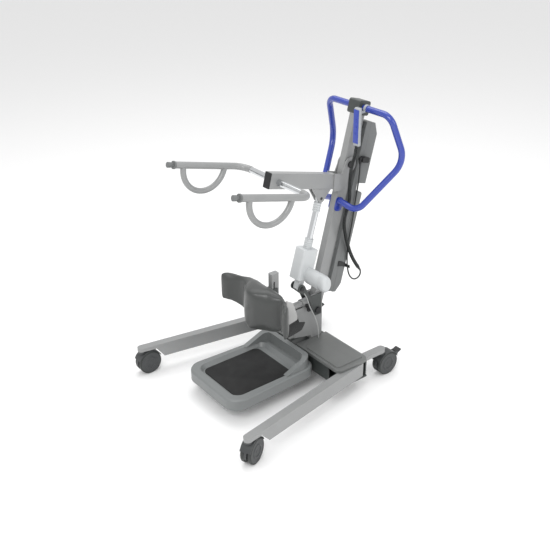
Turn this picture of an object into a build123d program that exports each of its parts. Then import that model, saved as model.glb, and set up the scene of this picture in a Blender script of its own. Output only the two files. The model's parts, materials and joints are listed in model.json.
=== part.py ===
"""Sit to stand lift: wheeled frame with opening legs, leaning mast, powered lifting boom with two sling arms,
adjustable knee pad, foot tray, push handle, battery and wired handset.

Units are millimetres.  The floor is z = 0, +Z is up, the person being lifted stands toward -Y and the carer
behind the push handle toward +Y.  The frame is symmetric about x = 0.
"""

import os
from math import cos, hypot, pi, radians, sin, tan

from build123d import *

os.makedirs("parts", exist_ok=True)

# ---------------------------------------------------------------- fits
RUNNING = 0.05        # radial clearance of a turning or sliding shaft
SOFT_GAP = 0.4        # gap round a loose or soft piece
SIDE_GAP = 1.0        # gap beside a moving plate

# ---------------------------------------------------------------- castors
WHEEL_D = 100.0       # standard twin wheel castor
WHEEL_W = 15.0
WHEEL_OUTER = 22.0    # outer face of a wheel from the castor's middle plane
TRAIL = 27.0          # swivel axis to axle
AXLE_R = 5.0
STEM_R = 6.0
HOOD_GAP = 1.5
HOOD_T = 3.0
HOOD_TOP = 108.5      # top of the swivel boss
HOOD_BOSS_R = 15.0
FORK_HALF = 5.5       # half thickness of the web between the wheels
PEDAL_PIN_R = 2.5

# ---------------------------------------------------------------- legs
LEG_PIVOT_X = 266.0
LEG_PIVOT_Y = 200.0
LEG_SPLAY = 9.63      # degrees from straight ahead, at rest
LEG_W = 34.0
LEG_LOW = 65.0
LEG_TOP = 125.0
LEG_WALL = 3.0
LEG_REACH = 619.5     # pivot to castor stem
TIP_PLATE_LOW = 109.0
LEG_BACK = 17.0       # leg end behind the pivot
NOTCH_LOW = 527.0     # where the slanted cut leaves the leg's underside
NOTCH_HIGH = 560.0    # where it meets the tip plate
LEG_PIN_R = 8.0

# ---------------------------------------------------------------- base
BEAM_HALF = 212.0
BEAM_FRONT = 96.0
BEAM_BACK = 236.0
BEAM_LOW = 57.0
BEAM_WALL = 5.0
PLATE_LOW = LEG_TOP + 1.0
PLATE_T = 6.0
PLATE_HALF = 277.0
PLATE_FRONT = 91.0
PLATE_BACK = 245.0
PLATE_R = 22.0
COVER_T = 8.0
COVER_LIP = 3.0
COVER_INNER = 21.5    # covers stop beside the post
LID_T = 4.0
REAR_ARM_W = 34.0
REAR_STEM_X = 241.0
REAR_STEM_Y = 352.0
TAB_X = 80.0
TAB_W = 26.0
TAB_REACH = -180.0

# ---------------------------------------------------------------- foot tray
TRAY_LOW = 60.0
TRAY_RIM = 105.0
TRAY_FLOOR = 89.0
TRAY_FRONT = -330.0
TRAY_BACK = 88.0
TRAY_FRONT_HALF = 170.0
TRAY_BACK_HALF = 150.0
TRAY_WALL_TOP = 148.0
WALL_REACH = 190.0
WALL_T = 22.0
WALL_SETBACK = 16.0   # the wall stands clear of the knee bracket as the tray is lifted
MAT_HALF = 116.0
MAT_FRONT = -280.0
MAT_BACK = -8.0
MAT_T = 3.0

# ---------------------------------------------------------------- post and mast
POST_INNER = 15.5
POST_OUTER = 21.0
POST_FRONT = 167.0
POST_BACK = 224.0
POST_TOP = 336.0
CHEEK_OUTER = 26.0
MAST_Y = 197.0        # bolt through the post and the mast's foot
MAST_Z = 262.0
MAST_LEAN = 14.7
MAST_HALF_W = 15.0
MAST_HALF_D = 25.0
MAST_WALL = 3.0
MAST_FOOT = -28.0
MAST_TOP = 812.0
MAST_BOLT_R = 10.0
SADDLE_LOW = 798.0
SADDLE_HIGH = 853.0
SADDLE_HALF = 29.0

# ---------------------------------------------------------------- boom
BOOM_PIVOT_Y = 354.0
BOOM_PIVOT_Z = 848.0
BOOM_TILT = 14.0
BOOM_HALF_W = 17.0
BOOM_LOW = -101.0
BOOM_HIGH = -41.0
BOOM_BACK = 60.0
BOOM_FRONT = 378.0
BOOM_WALL = 3.0
SIDE_PLATE_T = 5.0
SIDE_PLATE_R = 29.0
BOOM_PIN_R = 10.0
PIN_CAP_R = 14.0
PIN_CAP_OUT = 27.0
BAR_R = 12.0
BAR_FWD = 339.0
BAR_UP = -74.0
ARM_X = 202.0
ARM_R = 13.0
ARM_START = 150.0
ARM_BEND = 46.0
ARM_END = 652.0
GRIP_R = 11.0
GRIP_BACK = 428.0
GRIP_FRONT = 612.0
GRIP_UP = -171.0
LUG_R = 16.0
LUG_FWD = 108.7       # actuator's upper pin in the boom's own frame
LUG_UP = -138.4
LUG_INNER = 9.0
LUG_OUTER = 15.0
ROD_PIN_R = 6.0

# ---------------------------------------------------------------- actuator
ACT_Y = 114.0         # lower pin
ACT_Z = 385.0
ROD_R = 12.0
ROD_LOW = 85.0
COLLAR_LOW = 315.0
COLLAR_HIGH = 352.0
COLLAR_R = 15.5
HOUSING_LOW = 37.5
HOUSING_HIGH = 165.0
HOUSING_HALF_W = 30.0
HOUSING_HALF_D = 38.0
BOOT_R = 17.0
BOOT_HIGH = 205.0
MOTOR_Y = 145.0
MOTOR_Z = 438.0
MOTOR_END = 140.0
MOTOR_W = 50.0
MOTOR_H = 70.0

# ---------------------------------------------------------------- push handle
HANDLE_R = 12.5
HANDLE_PLATE_T = 4.0

# ---------------------------------------------------------------- back of the mast (mast's own frame)
BOX_HALF = 28.0
BOX_FRONT = 33.0
BOX_BACK = 57.0
BOX_LOW = 80.0
BOX_HIGH = 778.0
COVER_HIGH = 499.0
COVER_LOW = 76.0
COVER_BACK = 97.0
BATTERY_LOW = 535.0
BATTERY_HIGH = 775.0
BATTERY_BACK = 101.0
PLUG_Z = 632.0
PLUG_X = 40.0

# ---------------------------------------------------------------- knee support
KNEE_Z = 302.0
KNEE_TUBE_R = 14.5
KNEE_TUBE_BACK = 176.0
SOCKET_R = 19.0
SOCKET_FRONT = 128.0
KNOB_Y = 141.0
KNEE_POST_BACK = 10.0
KNEE_POST_FRONT = -26.0
KNEE_POST_HALF = 12.0
KNEE_POST_TOP = 487.0
CARRIAGE_LOW = 345.0
CARRIAGE_HIGH = 425.0
CARRIAGE_T = 5.0
SLOT_LOW = 340.0
SLOT_HIGH = 455.0
SLOT_R = 4.0
SLOT_Y = -14.0
PAD_LOW = 285.0
PAD_HIGH = 450.0
PAD_WING = 205.0
WEBBING_X = 115.0
WEBBING_T = 5.0
STRAP_PAD_T = 11.0

# ---------------------------------------------------------------- handset
HANDSET_LEFT = 30.0
HANDSET_RIGHT = 62.0
HANDSET_FRONT = 350.0
HANDSET_BACK = 367.0
HANDSET_LOW = 927.0
HANDSET_HIGH = 1075.0
HANDLE_TOP_Y = 405.0
HANDLE_TOP_Z = 1062.0
BUTTON_R = 4.0
BUTTON_OUT = 1.5
BUTTON_TRAVEL = 1.0

# ---------------------------------------------------------------- cords
CURLY_D = 15.0
TAIL_D = 6.0
BASE_CABLE_D = 4.0

# the pieces are drawn about the foot tray, and the origin is the middle of the footprint
FOOTPRINT_MID_Y = 22.6

MAST_COS = cos(radians(MAST_LEAN))
MAST_SIN = sin(radians(MAST_LEAN))
BOOM_COS = cos(radians(BOOM_TILT))
BOOM_SIN = sin(radians(BOOM_TILT))
# the actuator runs from its lower pin to the boom's lug
ROD_PIN_Y = BOOM_PIVOT_Y - LUG_FWD * BOOM_COS + LUG_UP * BOOM_SIN
ROD_PIN_Z = BOOM_PIVOT_Z + LUG_FWD * BOOM_SIN + LUG_UP * BOOM_COS
ACT_LENGTH = hypot(ROD_PIN_Y - ACT_Y, ROD_PIN_Z - ACT_Z)
ACT_COS = (ROD_PIN_Z - ACT_Z) / ACT_LENGTH
ACT_SIN = (ROD_PIN_Y - ACT_Y) / ACT_LENGTH

# sketch planes whose x and y are a piece's own axes, extruded across the frame
mast_side = Plane(origin=(0, MAST_Y, MAST_Z), x_dir=(0, MAST_COS, -MAST_SIN), z_dir=(1, 0, 0))
boom_side = Plane(origin=(0, BOOM_PIVOT_Y, BOOM_PIVOT_Z), x_dir=(0, -BOOM_COS, BOOM_SIN), z_dir=(-1, 0, 0))
act_side = Plane(origin=(0, ACT_Y, ACT_Z), x_dir=(0, ACT_COS, -ACT_SIN), z_dir=(1, 0, 0))
frame_side = Plane(origin=(0, 0, 0), x_dir=(0, 1, 0), z_dir=(1, 0, 0))


def write(piece, label):
    """Move a finished piece to the footprint's origin, label it and write it as its own file."""
    placed = piece.part.moved(Location((0, -FOOTPRINT_MID_Y, 0)))
    placed.label = label
    export_step(placed, f"parts/{label}.step")


def side_name(side):
    """Name of the side: +X is the right side seen from behind the lift's front."""
    return "right" if side > 0 else "left"


def boom_point(x, forward, up):
    """World point of a place given in the boom's own frame."""
    y = BOOM_PIVOT_Y - forward * BOOM_COS + up * BOOM_SIN
    z = BOOM_PIVOT_Z + forward * BOOM_SIN + up * BOOM_COS
    return (x, y, z)


def act_plane(along):
    """Plane square to the actuator at a distance from its lower pin."""
    origin = (0, ACT_Y + along * ACT_SIN, ACT_Z + along * ACT_COS)
    return Plane(origin=origin, x_dir=(1, 0, 0), z_dir=(0, ACT_SIN, ACT_COS))


def boom_plane(x, forward, up):
    """Plane square to the boom's length, facing forward."""
    return Plane(origin=boom_point(x, forward, up), x_dir=(1, 0, 0), z_dir=(0, -BOOM_COS, BOOM_SIN))


def x_plane(x, y, z):
    """Plane square to X whose own x axis is world Y."""
    return Plane(origin=(x, y, z), x_dir=(0, 1, 0), z_dir=(1, 0, 0))


def cord_radii(points):
    """Largest even bend radius at each inner point of a cord's route."""
    radii = []
    for before, here, after in zip(points, points[1:], points[2:]):
        arrive = Vector(here) - Vector(before)
        leave = Vector(after) - Vector(here)
        turn = radians(arrive.get_angle(leave))
        radii.append(0.45 * min(arrive.length, leave.length) / tan(turn / 2))
    return radii


# ================================================================ base
with BuildPart() as base_beam:
    # box section between the legs, open at both ends
    with BuildSketch(Plane.YZ.offset(-BEAM_HALF)):
        with Locations(((BEAM_FRONT + BEAM_BACK) / 2, (BEAM_LOW + PLATE_LOW) / 2)):
            Rectangle(BEAM_BACK - BEAM_FRONT, PLATE_LOW - BEAM_LOW)
            Rectangle(BEAM_BACK - BEAM_FRONT - 2 * BEAM_WALL, PLATE_LOW - BEAM_LOW - 2 * BEAM_WALL,
                      mode=Mode.SUBTRACT)
    extrude(amount=2 * BEAM_HALF)
    # plate over the legs
    with BuildSketch(Plane.XY.offset(PLATE_LOW)):
        with Locations((0, (PLATE_FRONT + PLATE_BACK) / 2)):
            RectangleRounded(2 * PLATE_HALF, PLATE_BACK - PLATE_FRONT, PLATE_R)
    extrude(amount=PLATE_T)
    # plates under the leg pivots
    with BuildSketch(Plane.XY.offset(BEAM_LOW)):
        for side in (-1, 1):
            with Locations((side * (BEAM_HALF + LEG_PIVOT_X + LEG_PIN_R * 2) / 2, LEG_PIVOT_Y)):
                Rectangle(LEG_PIVOT_X + LEG_PIN_R * 2 - BEAM_HALF, 76)
    extrude(amount=LEG_LOW - 1 - BEAM_LOW)
    # rear flange closing the space behind the legs
    with BuildSketch(Plane.XY.offset(BEAM_LOW)):
        with Locations((0, PLATE_BACK - 1 - PLATE_T / 2)):
            Rectangle(2 * (PLATE_HALF - 5), PLATE_T)
    extrude(amount=PLATE_LOW - BEAM_LOW)
    # two tabs that carry the foot tray
    with BuildSketch(Plane.XY.offset(TRAY_LOW - 10)):
        for side in (-1, 1):
            with Locations((side * TAB_X, (TAB_REACH + BEAM_FRONT + BEAM_WALL) / 2)):
                Rectangle(TAB_W, BEAM_FRONT + BEAM_WALL - TAB_REACH)
    extrude(amount=10)
    # bores of the leg pins
    with BuildSketch(Plane.XY.offset(BEAM_LOW - 1)):
        with Locations((LEG_PIVOT_X, LEG_PIVOT_Y), (-LEG_PIVOT_X, LEG_PIVOT_Y)):
            Circle(LEG_PIN_R)
    extrude(amount=PLATE_LOW + PLATE_T - BEAM_LOW + 2, mode=Mode.SUBTRACT)
write(base_beam, "base_beam")

with BuildPart() as leg_pivot_pins:
    with BuildSketch(Plane.XY.offset(BEAM_LOW)):
        with Locations((LEG_PIVOT_X, LEG_PIVOT_Y), (-LEG_PIVOT_X, LEG_PIVOT_Y)):
            Circle(LEG_PIN_R)
    extrude(amount=PLATE_LOW + PLATE_T - BEAM_LOW)
    with BuildSketch(Plane.XY.offset(BEAM_LOW)):
        with Locations((LEG_PIVOT_X, LEG_PIVOT_Y), (-LEG_PIVOT_X, LEG_PIVOT_Y)):
            Circle(LEG_PIN_R + 4)
    extrude(amount=-4)
write(leg_pivot_pins, "leg_pivot_pins")

for side in (-1, 1):
    cover_y = (PLATE_FRONT + PLATE_BACK) / 2
    cover_deep = PLATE_BACK - PLATE_FRONT + 2 * COVER_LIP
    with BuildPart() as base_cover:
        with BuildSketch(Plane.XY.offset(PLATE_LOW + 0.5)):
            with Locations((0, cover_y)):
                RectangleRounded(2 * (PLATE_HALF + COVER_LIP), cover_deep, PLATE_R + COVER_LIP)
            with Locations((side * (COVER_INNER - 400), cover_y)):
                Rectangle(800, 400, mode=Mode.SUBTRACT)
        extrude(amount=PLATE_T + COVER_T - 0.5)
        fillet(base_cover.faces().sort_by(Axis.Z)[-1].edges(), 3)
        # recess that the plate under it fills
        with BuildSketch(Plane.XY.offset(PLATE_LOW)):
            with Locations((0, cover_y)):
                RectangleRounded(2 * PLATE_HALF, PLATE_BACK - PLATE_FRONT, PLATE_R)
        extrude(amount=PLATE_T, mode=Mode.SUBTRACT)
        # raised lid
        with BuildSketch(Plane.XY.offset(PLATE_LOW + PLATE_T + COVER_T)):
            with Locations((side * 163, cover_y)):
                RectangleRounded(198, cover_deep - 24, 16)
        extrude(amount=LID_T)
        fillet(base_cover.faces().sort_by(Axis.Z)[-1].edges(), 2)
    write(base_cover, f"base_cover_{side_name(side)}")

for side in (-1, 1):
    with BuildPart() as rear_arm:
        with BuildSketch(Plane.XY.offset(TIP_PLATE_LOW)):
            with Locations((side * REAR_STEM_X, REAR_STEM_Y)):
                Circle(REAR_ARM_W / 2)
            with Locations((side * REAR_STEM_X, (PLATE_BACK - 1 + REAR_STEM_Y) / 2)):
                Rectangle(REAR_ARM_W, REAR_STEM_Y - PLATE_BACK + 1)
        extrude(amount=PLATE_LOW - TIP_PLATE_LOW)
        with BuildSketch(Plane.XY.offset(TIP_PLATE_LOW)):
            with Locations((side * REAR_STEM_X, REAR_STEM_Y)):
                Circle(STEM_R + RUNNING)
        extrude(amount=13, mode=Mode.SUBTRACT)
    write(rear_arm, f"rear_arm_{side_name(side)}")

# ================================================================ legs
for side in (-1, 1):
    splay_sin = side * sin(radians(LEG_SPLAY))
    splay_cos = cos(radians(LEG_SPLAY))
    leg_plane = Plane(origin=(side * LEG_PIVOT_X, LEG_PIVOT_Y, 0), x_dir=(splay_sin, -splay_cos, 0),
                      z_dir=(-splay_cos, -splay_sin, 0))
    leg_flat = Plane(origin=(side * LEG_PIVOT_X, LEG_PIVOT_Y, 0), x_dir=(splay_sin, -splay_cos, 0),
                     z_dir=(0, 0, 1))
    with BuildPart() as leg:
        with BuildSketch(leg_plane):
            with BuildLine():
                Polyline((-LEG_BACK, LEG_LOW), (NOTCH_LOW, LEG_LOW), (NOTCH_HIGH, TIP_PLATE_LOW),
                         (LEG_REACH, TIP_PLATE_LOW), (LEG_REACH, LEG_TOP), (-LEG_BACK, LEG_TOP), close=True)
            make_face()
        extrude(amount=LEG_W / 2, both=True)
        # rounded plate over the castor
        with BuildSketch(leg_flat.offset(TIP_PLATE_LOW)):
            with Locations((LEG_REACH, 0)):
                Circle(LEG_W / 2)
        extrude(amount=LEG_TOP - TIP_PLATE_LOW)
        # hollow of the tube, open at its rear end
        hollow_len = NOTCH_LOW - 12 + LEG_BACK
        with BuildSketch(leg_plane):
            with Locations(((NOTCH_LOW - 12 - LEG_BACK) / 2, (LEG_LOW + LEG_TOP) / 2)):
                Rectangle(hollow_len, LEG_TOP - LEG_LOW - 2 * LEG_WALL)
        extrude(amount=LEG_W / 2 - LEG_WALL, both=True, mode=Mode.SUBTRACT)
        # pivot bore through both walls
        with BuildSketch(leg_flat.offset(LEG_LOW)):
            Circle(LEG_PIN_R + RUNNING)
        extrude(amount=LEG_TOP - LEG_LOW, mode=Mode.SUBTRACT)
        # castor stem's socket
        with BuildSketch(leg_flat.offset(TIP_PLATE_LOW)):
            with Locations((LEG_REACH, 0)):
                Circle(STEM_R + RUNNING)
        extrude(amount=13, mode=Mode.SUBTRACT)
    write(leg, f"leg_{side_name(side)}")


# ================================================================ castors
def castor_nodes(name, stem_x, stem_y, heading, braked):
    """Hood and wheel pair of one castor; heading is the trail's angle from +Y toward -X in degrees."""
    trail_x = -sin(radians(heading))
    trail_y = cos(radians(heading))
    axle_z = WHEEL_D / 2
    # sketch x runs along the trail from the axle, sketch y runs up, the normal is the wheel axis
    middle = Plane(origin=(stem_x + TRAIL * trail_x, stem_y + TRAIL * trail_y, axle_z),
                   x_dir=(trail_x, trail_y, 0), z_dir=(trail_y, -trail_x, 0))
    stem_plane = Plane(origin=(stem_x, stem_y, 0), x_dir=(1, 0, 0), z_dir=(0, 0, 1))
    inner = WHEEL_D / 2 + HOOD_GAP
    outer = inner + HOOD_T
    with BuildPart() as hood:
        # web between the wheels
        with BuildSketch(middle):
            Circle(inner + HOOD_T / 2)
            with Locations((0, -outer)):
                Rectangle(2 * outer, 2 * outer - 20, mode=Mode.SUBTRACT)
            Circle(14)
        extrude(amount=FORK_HALF, both=True)
        # canopy over the wheels
        with BuildSketch(middle):
            Circle(outer)
            Circle(inner, mode=Mode.SUBTRACT)
            with Locations((0, -outer + 20)):
                Rectangle(2.2 * outer, 2 * outer, mode=Mode.SUBTRACT)
        extrude(amount=WHEEL_OUTER, both=True)
        # swivel boss and stem
        with BuildSketch(stem_plane.offset(HOOD_TOP)):
            Circle(HOOD_BOSS_R)
        extrude(amount=-10)
        with BuildSketch(stem_plane.offset(HOOD_TOP - 1)):
            Circle(STEM_R)
        extrude(amount=12)
        if braked:
            # ears and pin of the brake pedal
            with BuildSketch(middle):
                with Locations((50, 27)):
                    Rectangle(20, 11)
                Circle(inner, mode=Mode.SUBTRACT)
            extrude(amount=14.5, both=True)
            with BuildSketch(middle):
                with Locations((54.5, 27)):
                    Rectangle(13, 13)
            extrude(amount=10.5, both=True, mode=Mode.SUBTRACT)
            with BuildSketch(middle):
                with Locations((55, 27)):
                    Circle(PEDAL_PIN_R)
            extrude(amount=12, both=True)
        # axle bore
        with BuildSketch(middle):
            Circle(AXLE_R + RUNNING)
        extrude(amount=FORK_HALF, both=True, mode=Mode.SUBTRACT)
    write(hood, f"castor_hood_{name}")

    with BuildPart() as wheels:
        with BuildSketch(middle):
            Circle(AXLE_R)
        extrude(amount=WHEEL_OUTER - WHEEL_W + 1, both=True)
        for face in (-1, 1):
            with BuildSketch(middle.offset(face * (WHEEL_OUTER - WHEEL_W))):
                Circle(WHEEL_D / 2)
            extrude(amount=face * WHEEL_W)
        rims = wheels.edges().filter_by(GeomType.CIRCLE).sort_by(SortBy.RADIUS)[-4:]
        fillet(rims, 2.5)
        # raised hub ring on each outer face
        for face in (-1, 1):
            with BuildSketch(middle.offset(face * (WHEEL_OUTER - 0.2))):
                Circle(26)
                Circle(21, mode=Mode.SUBTRACT)
            extrude(amount=face * 1.6)
    write(wheels, f"castor_wheels_{name}")

    if braked:
        with BuildPart() as pedal:
            with BuildSketch(middle):
                with Locations((55, 27)):
                    Circle(5.5)
            extrude(amount=10, both=True)
            with BuildSketch(middle):
                with BuildLine():
                    Polyline((56, 29), (58, 32.3), (76, 38), (76, 33), (60, 27), close=True)
                make_face()
            extrude(amount=15, both=True)
            with BuildSketch(middle):
                with Locations((55, 27)):
                    Circle(PEDAL_PIN_R + RUNNING)
            extrude(amount=15, both=True, mode=Mode.SUBTRACT)
            # room for the ears
            for face in (-1, 1):
                with BuildSketch(middle.offset(face * 10.2)):
                    with Locations((50, 27)):
                        Rectangle(20.8, 11.8)
                extrude(amount=face * 6, mode=Mode.SUBTRACT)
        write(pedal, f"brake_pedal_{name}")


splay_x = LEG_REACH * sin(radians(LEG_SPLAY))
splay_y = LEG_REACH * cos(radians(LEG_SPLAY))
castor_nodes("front_right", LEG_PIVOT_X + splay_x, LEG_PIVOT_Y - splay_y, 24, False)
castor_nodes("front_left", -LEG_PIVOT_X - splay_x, LEG_PIVOT_Y - splay_y, 0, False)
castor_nodes("rear_right", REAR_STEM_X, REAR_STEM_Y, 0, True)
castor_nodes("rear_left", -REAR_STEM_X, REAR_STEM_Y, 0, True)

# ================================================================ foot tray
with BuildPart() as foot_tray:
    with BuildSketch(Plane.XY.offset(TRAY_LOW)) as tray_plan:
        with BuildLine():
            Polyline((-TRAY_FRONT_HALF, TRAY_FRONT), (TRAY_FRONT_HALF, TRAY_FRONT), (TRAY_BACK_HALF, TRAY_BACK),
                     (-TRAY_BACK_HALF, TRAY_BACK), close=True)
        make_face()
        fillet(tray_plan.vertices().group_by(Axis.Y)[0], 62)
        fillet(tray_plan.vertices().group_by(Axis.Y)[-1], 48)
    extrude(amount=TRAY_RIM - TRAY_LOW)
    fillet(foot_tray.faces().sort_by(Axis.Z)[-1].edges(), 9)
    # rim that rises to a wall across the back and slopes down along both sides
    with BuildPart(mode=Mode.PRIVATE) as tray_wall:
        with BuildSketch(Plane.XY.offset(TRAY_RIM - 12)):
            with Locations((0, TRAY_BACK - WALL_SETBACK - WALL_REACH / 2)):
                RectangleRounded(2 * (TRAY_BACK_HALF - 4), WALL_REACH, 46)
            with Locations((0, TRAY_BACK - WALL_SETBACK - WALL_T - WALL_REACH / 2)):
                RectangleRounded(2 * (TRAY_BACK_HALF - 4 - WALL_T), WALL_REACH, 30, mode=Mode.SUBTRACT)
        extrude(amount=TRAY_WALL_TOP - TRAY_RIM + 12)
        with BuildSketch(Plane.YZ.offset(-TRAY_BACK_HALF)):
            with BuildLine():
                Polyline((TRAY_BACK, TRAY_LOW), (TRAY_BACK, TRAY_WALL_TOP), (TRAY_BACK - 40, TRAY_WALL_TOP),
                         (TRAY_BACK - WALL_REACH + 30, TRAY_RIM - 4), (TRAY_BACK - WALL_REACH + 30, TRAY_LOW),
                         close=True)
            make_face()
        extrude(amount=2 * TRAY_BACK_HALF, mode=Mode.INTERSECT)
    add(tray_wall.part)
    # well for the feet
    with BuildSketch(Plane.XY.offset(TRAY_FLOOR)):
        with Locations((0, (MAT_FRONT + MAT_BACK) / 2 + 10)):
            RectangleRounded(2 * MAT_HALF + 12, MAT_BACK - MAT_FRONT + 32, 30)
    extrude(amount=TRAY_RIM - TRAY_FLOOR + 1, taper=-35, mode=Mode.SUBTRACT)
write(foot_tray, "foot_tray")

with BuildPart() as tray_mat:
    with BuildSketch(Plane.XY.offset(TRAY_FLOOR)):
        with Locations((0, (MAT_FRONT + MAT_BACK) / 2)):
            RectangleRounded(2 * MAT_HALF, MAT_BACK - MAT_FRONT, 26)
    extrude(amount=MAT_T)
write(tray_mat, "tray_mat")

# ================================================================ post and mast
with BuildPart() as lower_post:
    with BuildSketch(Plane.XY.offset(PLATE_LOW + PLATE_T)):
        for side in (-1, 1):
            with Locations((side * (POST_INNER + POST_OUTER) / 2, (POST_FRONT + POST_BACK) / 2)):
                Rectangle(POST_OUTER - POST_INNER, POST_BACK - POST_FRONT)
    extrude(amount=POST_TOP - PLATE_LOW - PLATE_T)
    # front and rear walls stop below the leaning mast
    with BuildSketch(Plane.XY.offset(PLATE_LOW + PLATE_T)):
        with Locations((0, POST_FRONT + 2)):
            Rectangle(2 * POST_OUTER, 4)
        with Locations((0, POST_BACK - 2)):
            Rectangle(2 * POST_OUTER, 4)
    extrude(amount=222 - PLATE_LOW - PLATE_T)
    with BuildSketch(x_plane(0, MAST_Y, MAST_Z)):
        Circle(MAST_BOLT_R)
    extrude(amount=POST_OUTER + 1, both=True, mode=Mode.SUBTRACT)
write(lower_post, "lower_post")

with BuildPart() as knee_bracket:
    # side plates in front of the post
    for side in (-1, 1):
        with BuildSketch(frame_side.offset(side * (POST_OUTER - 5))):
            with BuildLine():
                Polyline((89, 294), (78, 169), (POST_FRONT, 150), (POST_FRONT, 294), close=True)
            make_face()
        extrude(amount=side * 5)
    # socket that the knee tube slides in
    with BuildSketch(Plane(origin=(0, SOCKET_FRONT, KNEE_Z), x_dir=(1, 0, 0), z_dir=(0, 1, 0))):
        Circle(SOCKET_R)
    extrude(amount=POST_FRONT - SOCKET_FRONT)
    with BuildSketch(Plane(origin=(0, SOCKET_FRONT - 60, KNEE_Z), x_dir=(1, 0, 0), z_dir=(0, 1, 0))):
        Circle(KNEE_TUBE_R + RUNNING)
    extrude(amount=POST_FRONT - SOCKET_FRONT + 60, mode=Mode.SUBTRACT)
    with BuildSketch(x_plane(KNEE_TUBE_R - 2, KNOB_Y, KNEE_Z)):
        Circle(4 + RUNNING)
    extrude(amount=12, mode=Mode.SUBTRACT)
write(knee_bracket, "knee_bracket")

with BuildPart() as actuator_bracket:
    # two cheeks outside the post that reach forward to the actuator's lower pin
    for side in (-1, 1):
        with BuildSketch(frame_side.offset(side * POST_OUTER)):
            with BuildLine():
                Polyline((216, 240), (216, POST_TOP), (156, POST_TOP), (ACT_Y + 15, ACT_Z + 6),
                         (ACT_Y - 15, ACT_Z - 8), (144, 334), (184, 240), close=True)
            make_face()
            with Locations((ACT_Y, ACT_Z)):
                Circle(17)
            with Locations((MAST_Y, MAST_Z)):
                Circle(MAST_BOLT_R, mode=Mode.SUBTRACT)
        extrude(amount=side * (CHEEK_OUTER - POST_OUTER))
write(actuator_bracket, "actuator_bracket")

with BuildPart() as frame_bolts:
    # bolt through the post, the cheeks and the mast's foot
    with BuildSketch(x_plane(0, MAST_Y, MAST_Z)):
        Circle(MAST_BOLT_R)
    extrude(amount=CHEEK_OUTER, both=True)
    for side in (-1, 1):
        with BuildSketch(x_plane(side * CHEEK_OUTER, MAST_Y, MAST_Z)):
            Circle(14)
        extrude(amount=side * 6)
        # heads of the actuator's lower pin
        with BuildSketch(x_plane(side * CHEEK_OUTER, ACT_Y, ACT_Z)):
            Circle(9)
        extrude(amount=side * 3.5)
write(frame_bolts, "frame_bolts")

with BuildPart() as mast_tube:
    with BuildSketch(mast_side):
        with Locations((0, (MAST_FOOT + MAST_TOP) / 2)):
            Rectangle(2 * MAST_HALF_D, MAST_TOP - MAST_FOOT)
    extrude(amount=MAST_HALF_W, both=True)
    with BuildSketch(mast_side):
        with Locations((0, (MAST_FOOT + MAST_TOP) / 2)):
            Rectangle(2 * (MAST_HALF_D - MAST_WALL), MAST_TOP - MAST_FOOT)
    extrude(amount=MAST_HALF_W - MAST_WALL, both=True, mode=Mode.SUBTRACT)
    # bolt bore at the foot and the boom's pivot bore
    with BuildSketch(x_plane(0, MAST_Y, MAST_Z)):
        Circle(MAST_BOLT_R)
    extrude(amount=MAST_HALF_W, both=True, mode=Mode.SUBTRACT)
    with BuildSketch(x_plane(0, BOOM_PIVOT_Y, BOOM_PIVOT_Z)):
        Circle(BOOM_PIN_R + RUNNING)
    extrude(amount=MAST_HALF_W, both=True, mode=Mode.SUBTRACT)
write(mast_tube, "mast_tube")

# ================================================================ push handle
handle_half = [(19, 302, 712), (106, 316, 690), (200, 464, 884), (170, HANDLE_TOP_Y, HANDLE_TOP_Z)]
handle_route = [(-x, y, z) for x, y, z in handle_half] + handle_half[::-1]
with BuildPart() as push_handle:
    with BuildLine() as handle_line:
        FilletPolyline(*handle_route, radius=[45, 95, 45, 45, 95, 45])
    with BuildSketch(Plane(origin=handle_route[0], z_dir=handle_line.line % 0)):
        Circle(HANDLE_R)
    sweep()
    for side in (-1, 1):
        with BuildSketch(mast_side.offset(side * MAST_HALF_W)):
            with Locations((-8, 446)):
                RectangleRounded(36, 56, 12)
        extrude(amount=side * HANDLE_PLATE_T)
        with BuildSketch(mast_side.offset(side * (MAST_HALF_W + HANDLE_PLATE_T))):
            with Locations((-8, 432)):
                Circle(6)
        extrude(amount=side * 4)
write(push_handle, "push_handle")

with BuildPart() as handle_saddle:
    with BuildSketch(mast_side) as saddle_face:
        with Locations((0, (SADDLE_LOW + SADDLE_HIGH) / 2)):
            RectangleRounded(2 * SADDLE_HALF, SADDLE_HIGH - SADDLE_LOW, 9)
    extrude(amount=SADDLE_HALF, both=True)
    with BuildSketch(mast_side):
        with Locations((0, (SADDLE_LOW - 10 + MAST_TOP) / 2)):
            Rectangle(2 * MAST_HALF_D, MAST_TOP - SADDLE_LOW + 10)
    extrude(amount=MAST_HALF_W, both=True, mode=Mode.SUBTRACT)
    with BuildSketch(x_plane(0, HANDLE_TOP_Y, HANDLE_TOP_Z)):
        Circle(HANDLE_R)
    extrude(amount=SADDLE_HALF + 1, both=True, mode=Mode.SUBTRACT)
write(handle_saddle, "handle_saddle")

# ================================================================ back of the mast
with BuildPart() as control_box:
    with BuildSketch(mast_side):
        with Locations(((BOX_FRONT + BOX_BACK) / 2, (BOX_LOW + BOX_HIGH) / 2)):
            Rectangle(BOX_BACK - BOX_FRONT, BOX_HIGH - BOX_LOW)
    extrude(amount=BOX_HALF, both=True)
    fillet(control_box.edges().filter_by(Axis.X).sort_by(Axis.Z)[-2:], 8)
    # rail that joins the box to the mast's rear face
    with BuildSketch(mast_side):
        with Locations(((MAST_HALF_D + BOX_FRONT) / 2, (BOX_LOW + BOX_HIGH) / 2)):
            Rectangle(BOX_FRONT - MAST_HALF_D, BOX_HIGH - BOX_LOW - 60)
    extrude(amount=MAST_HALF_W - 2, both=True)
write(control_box, "control_box")

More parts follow.
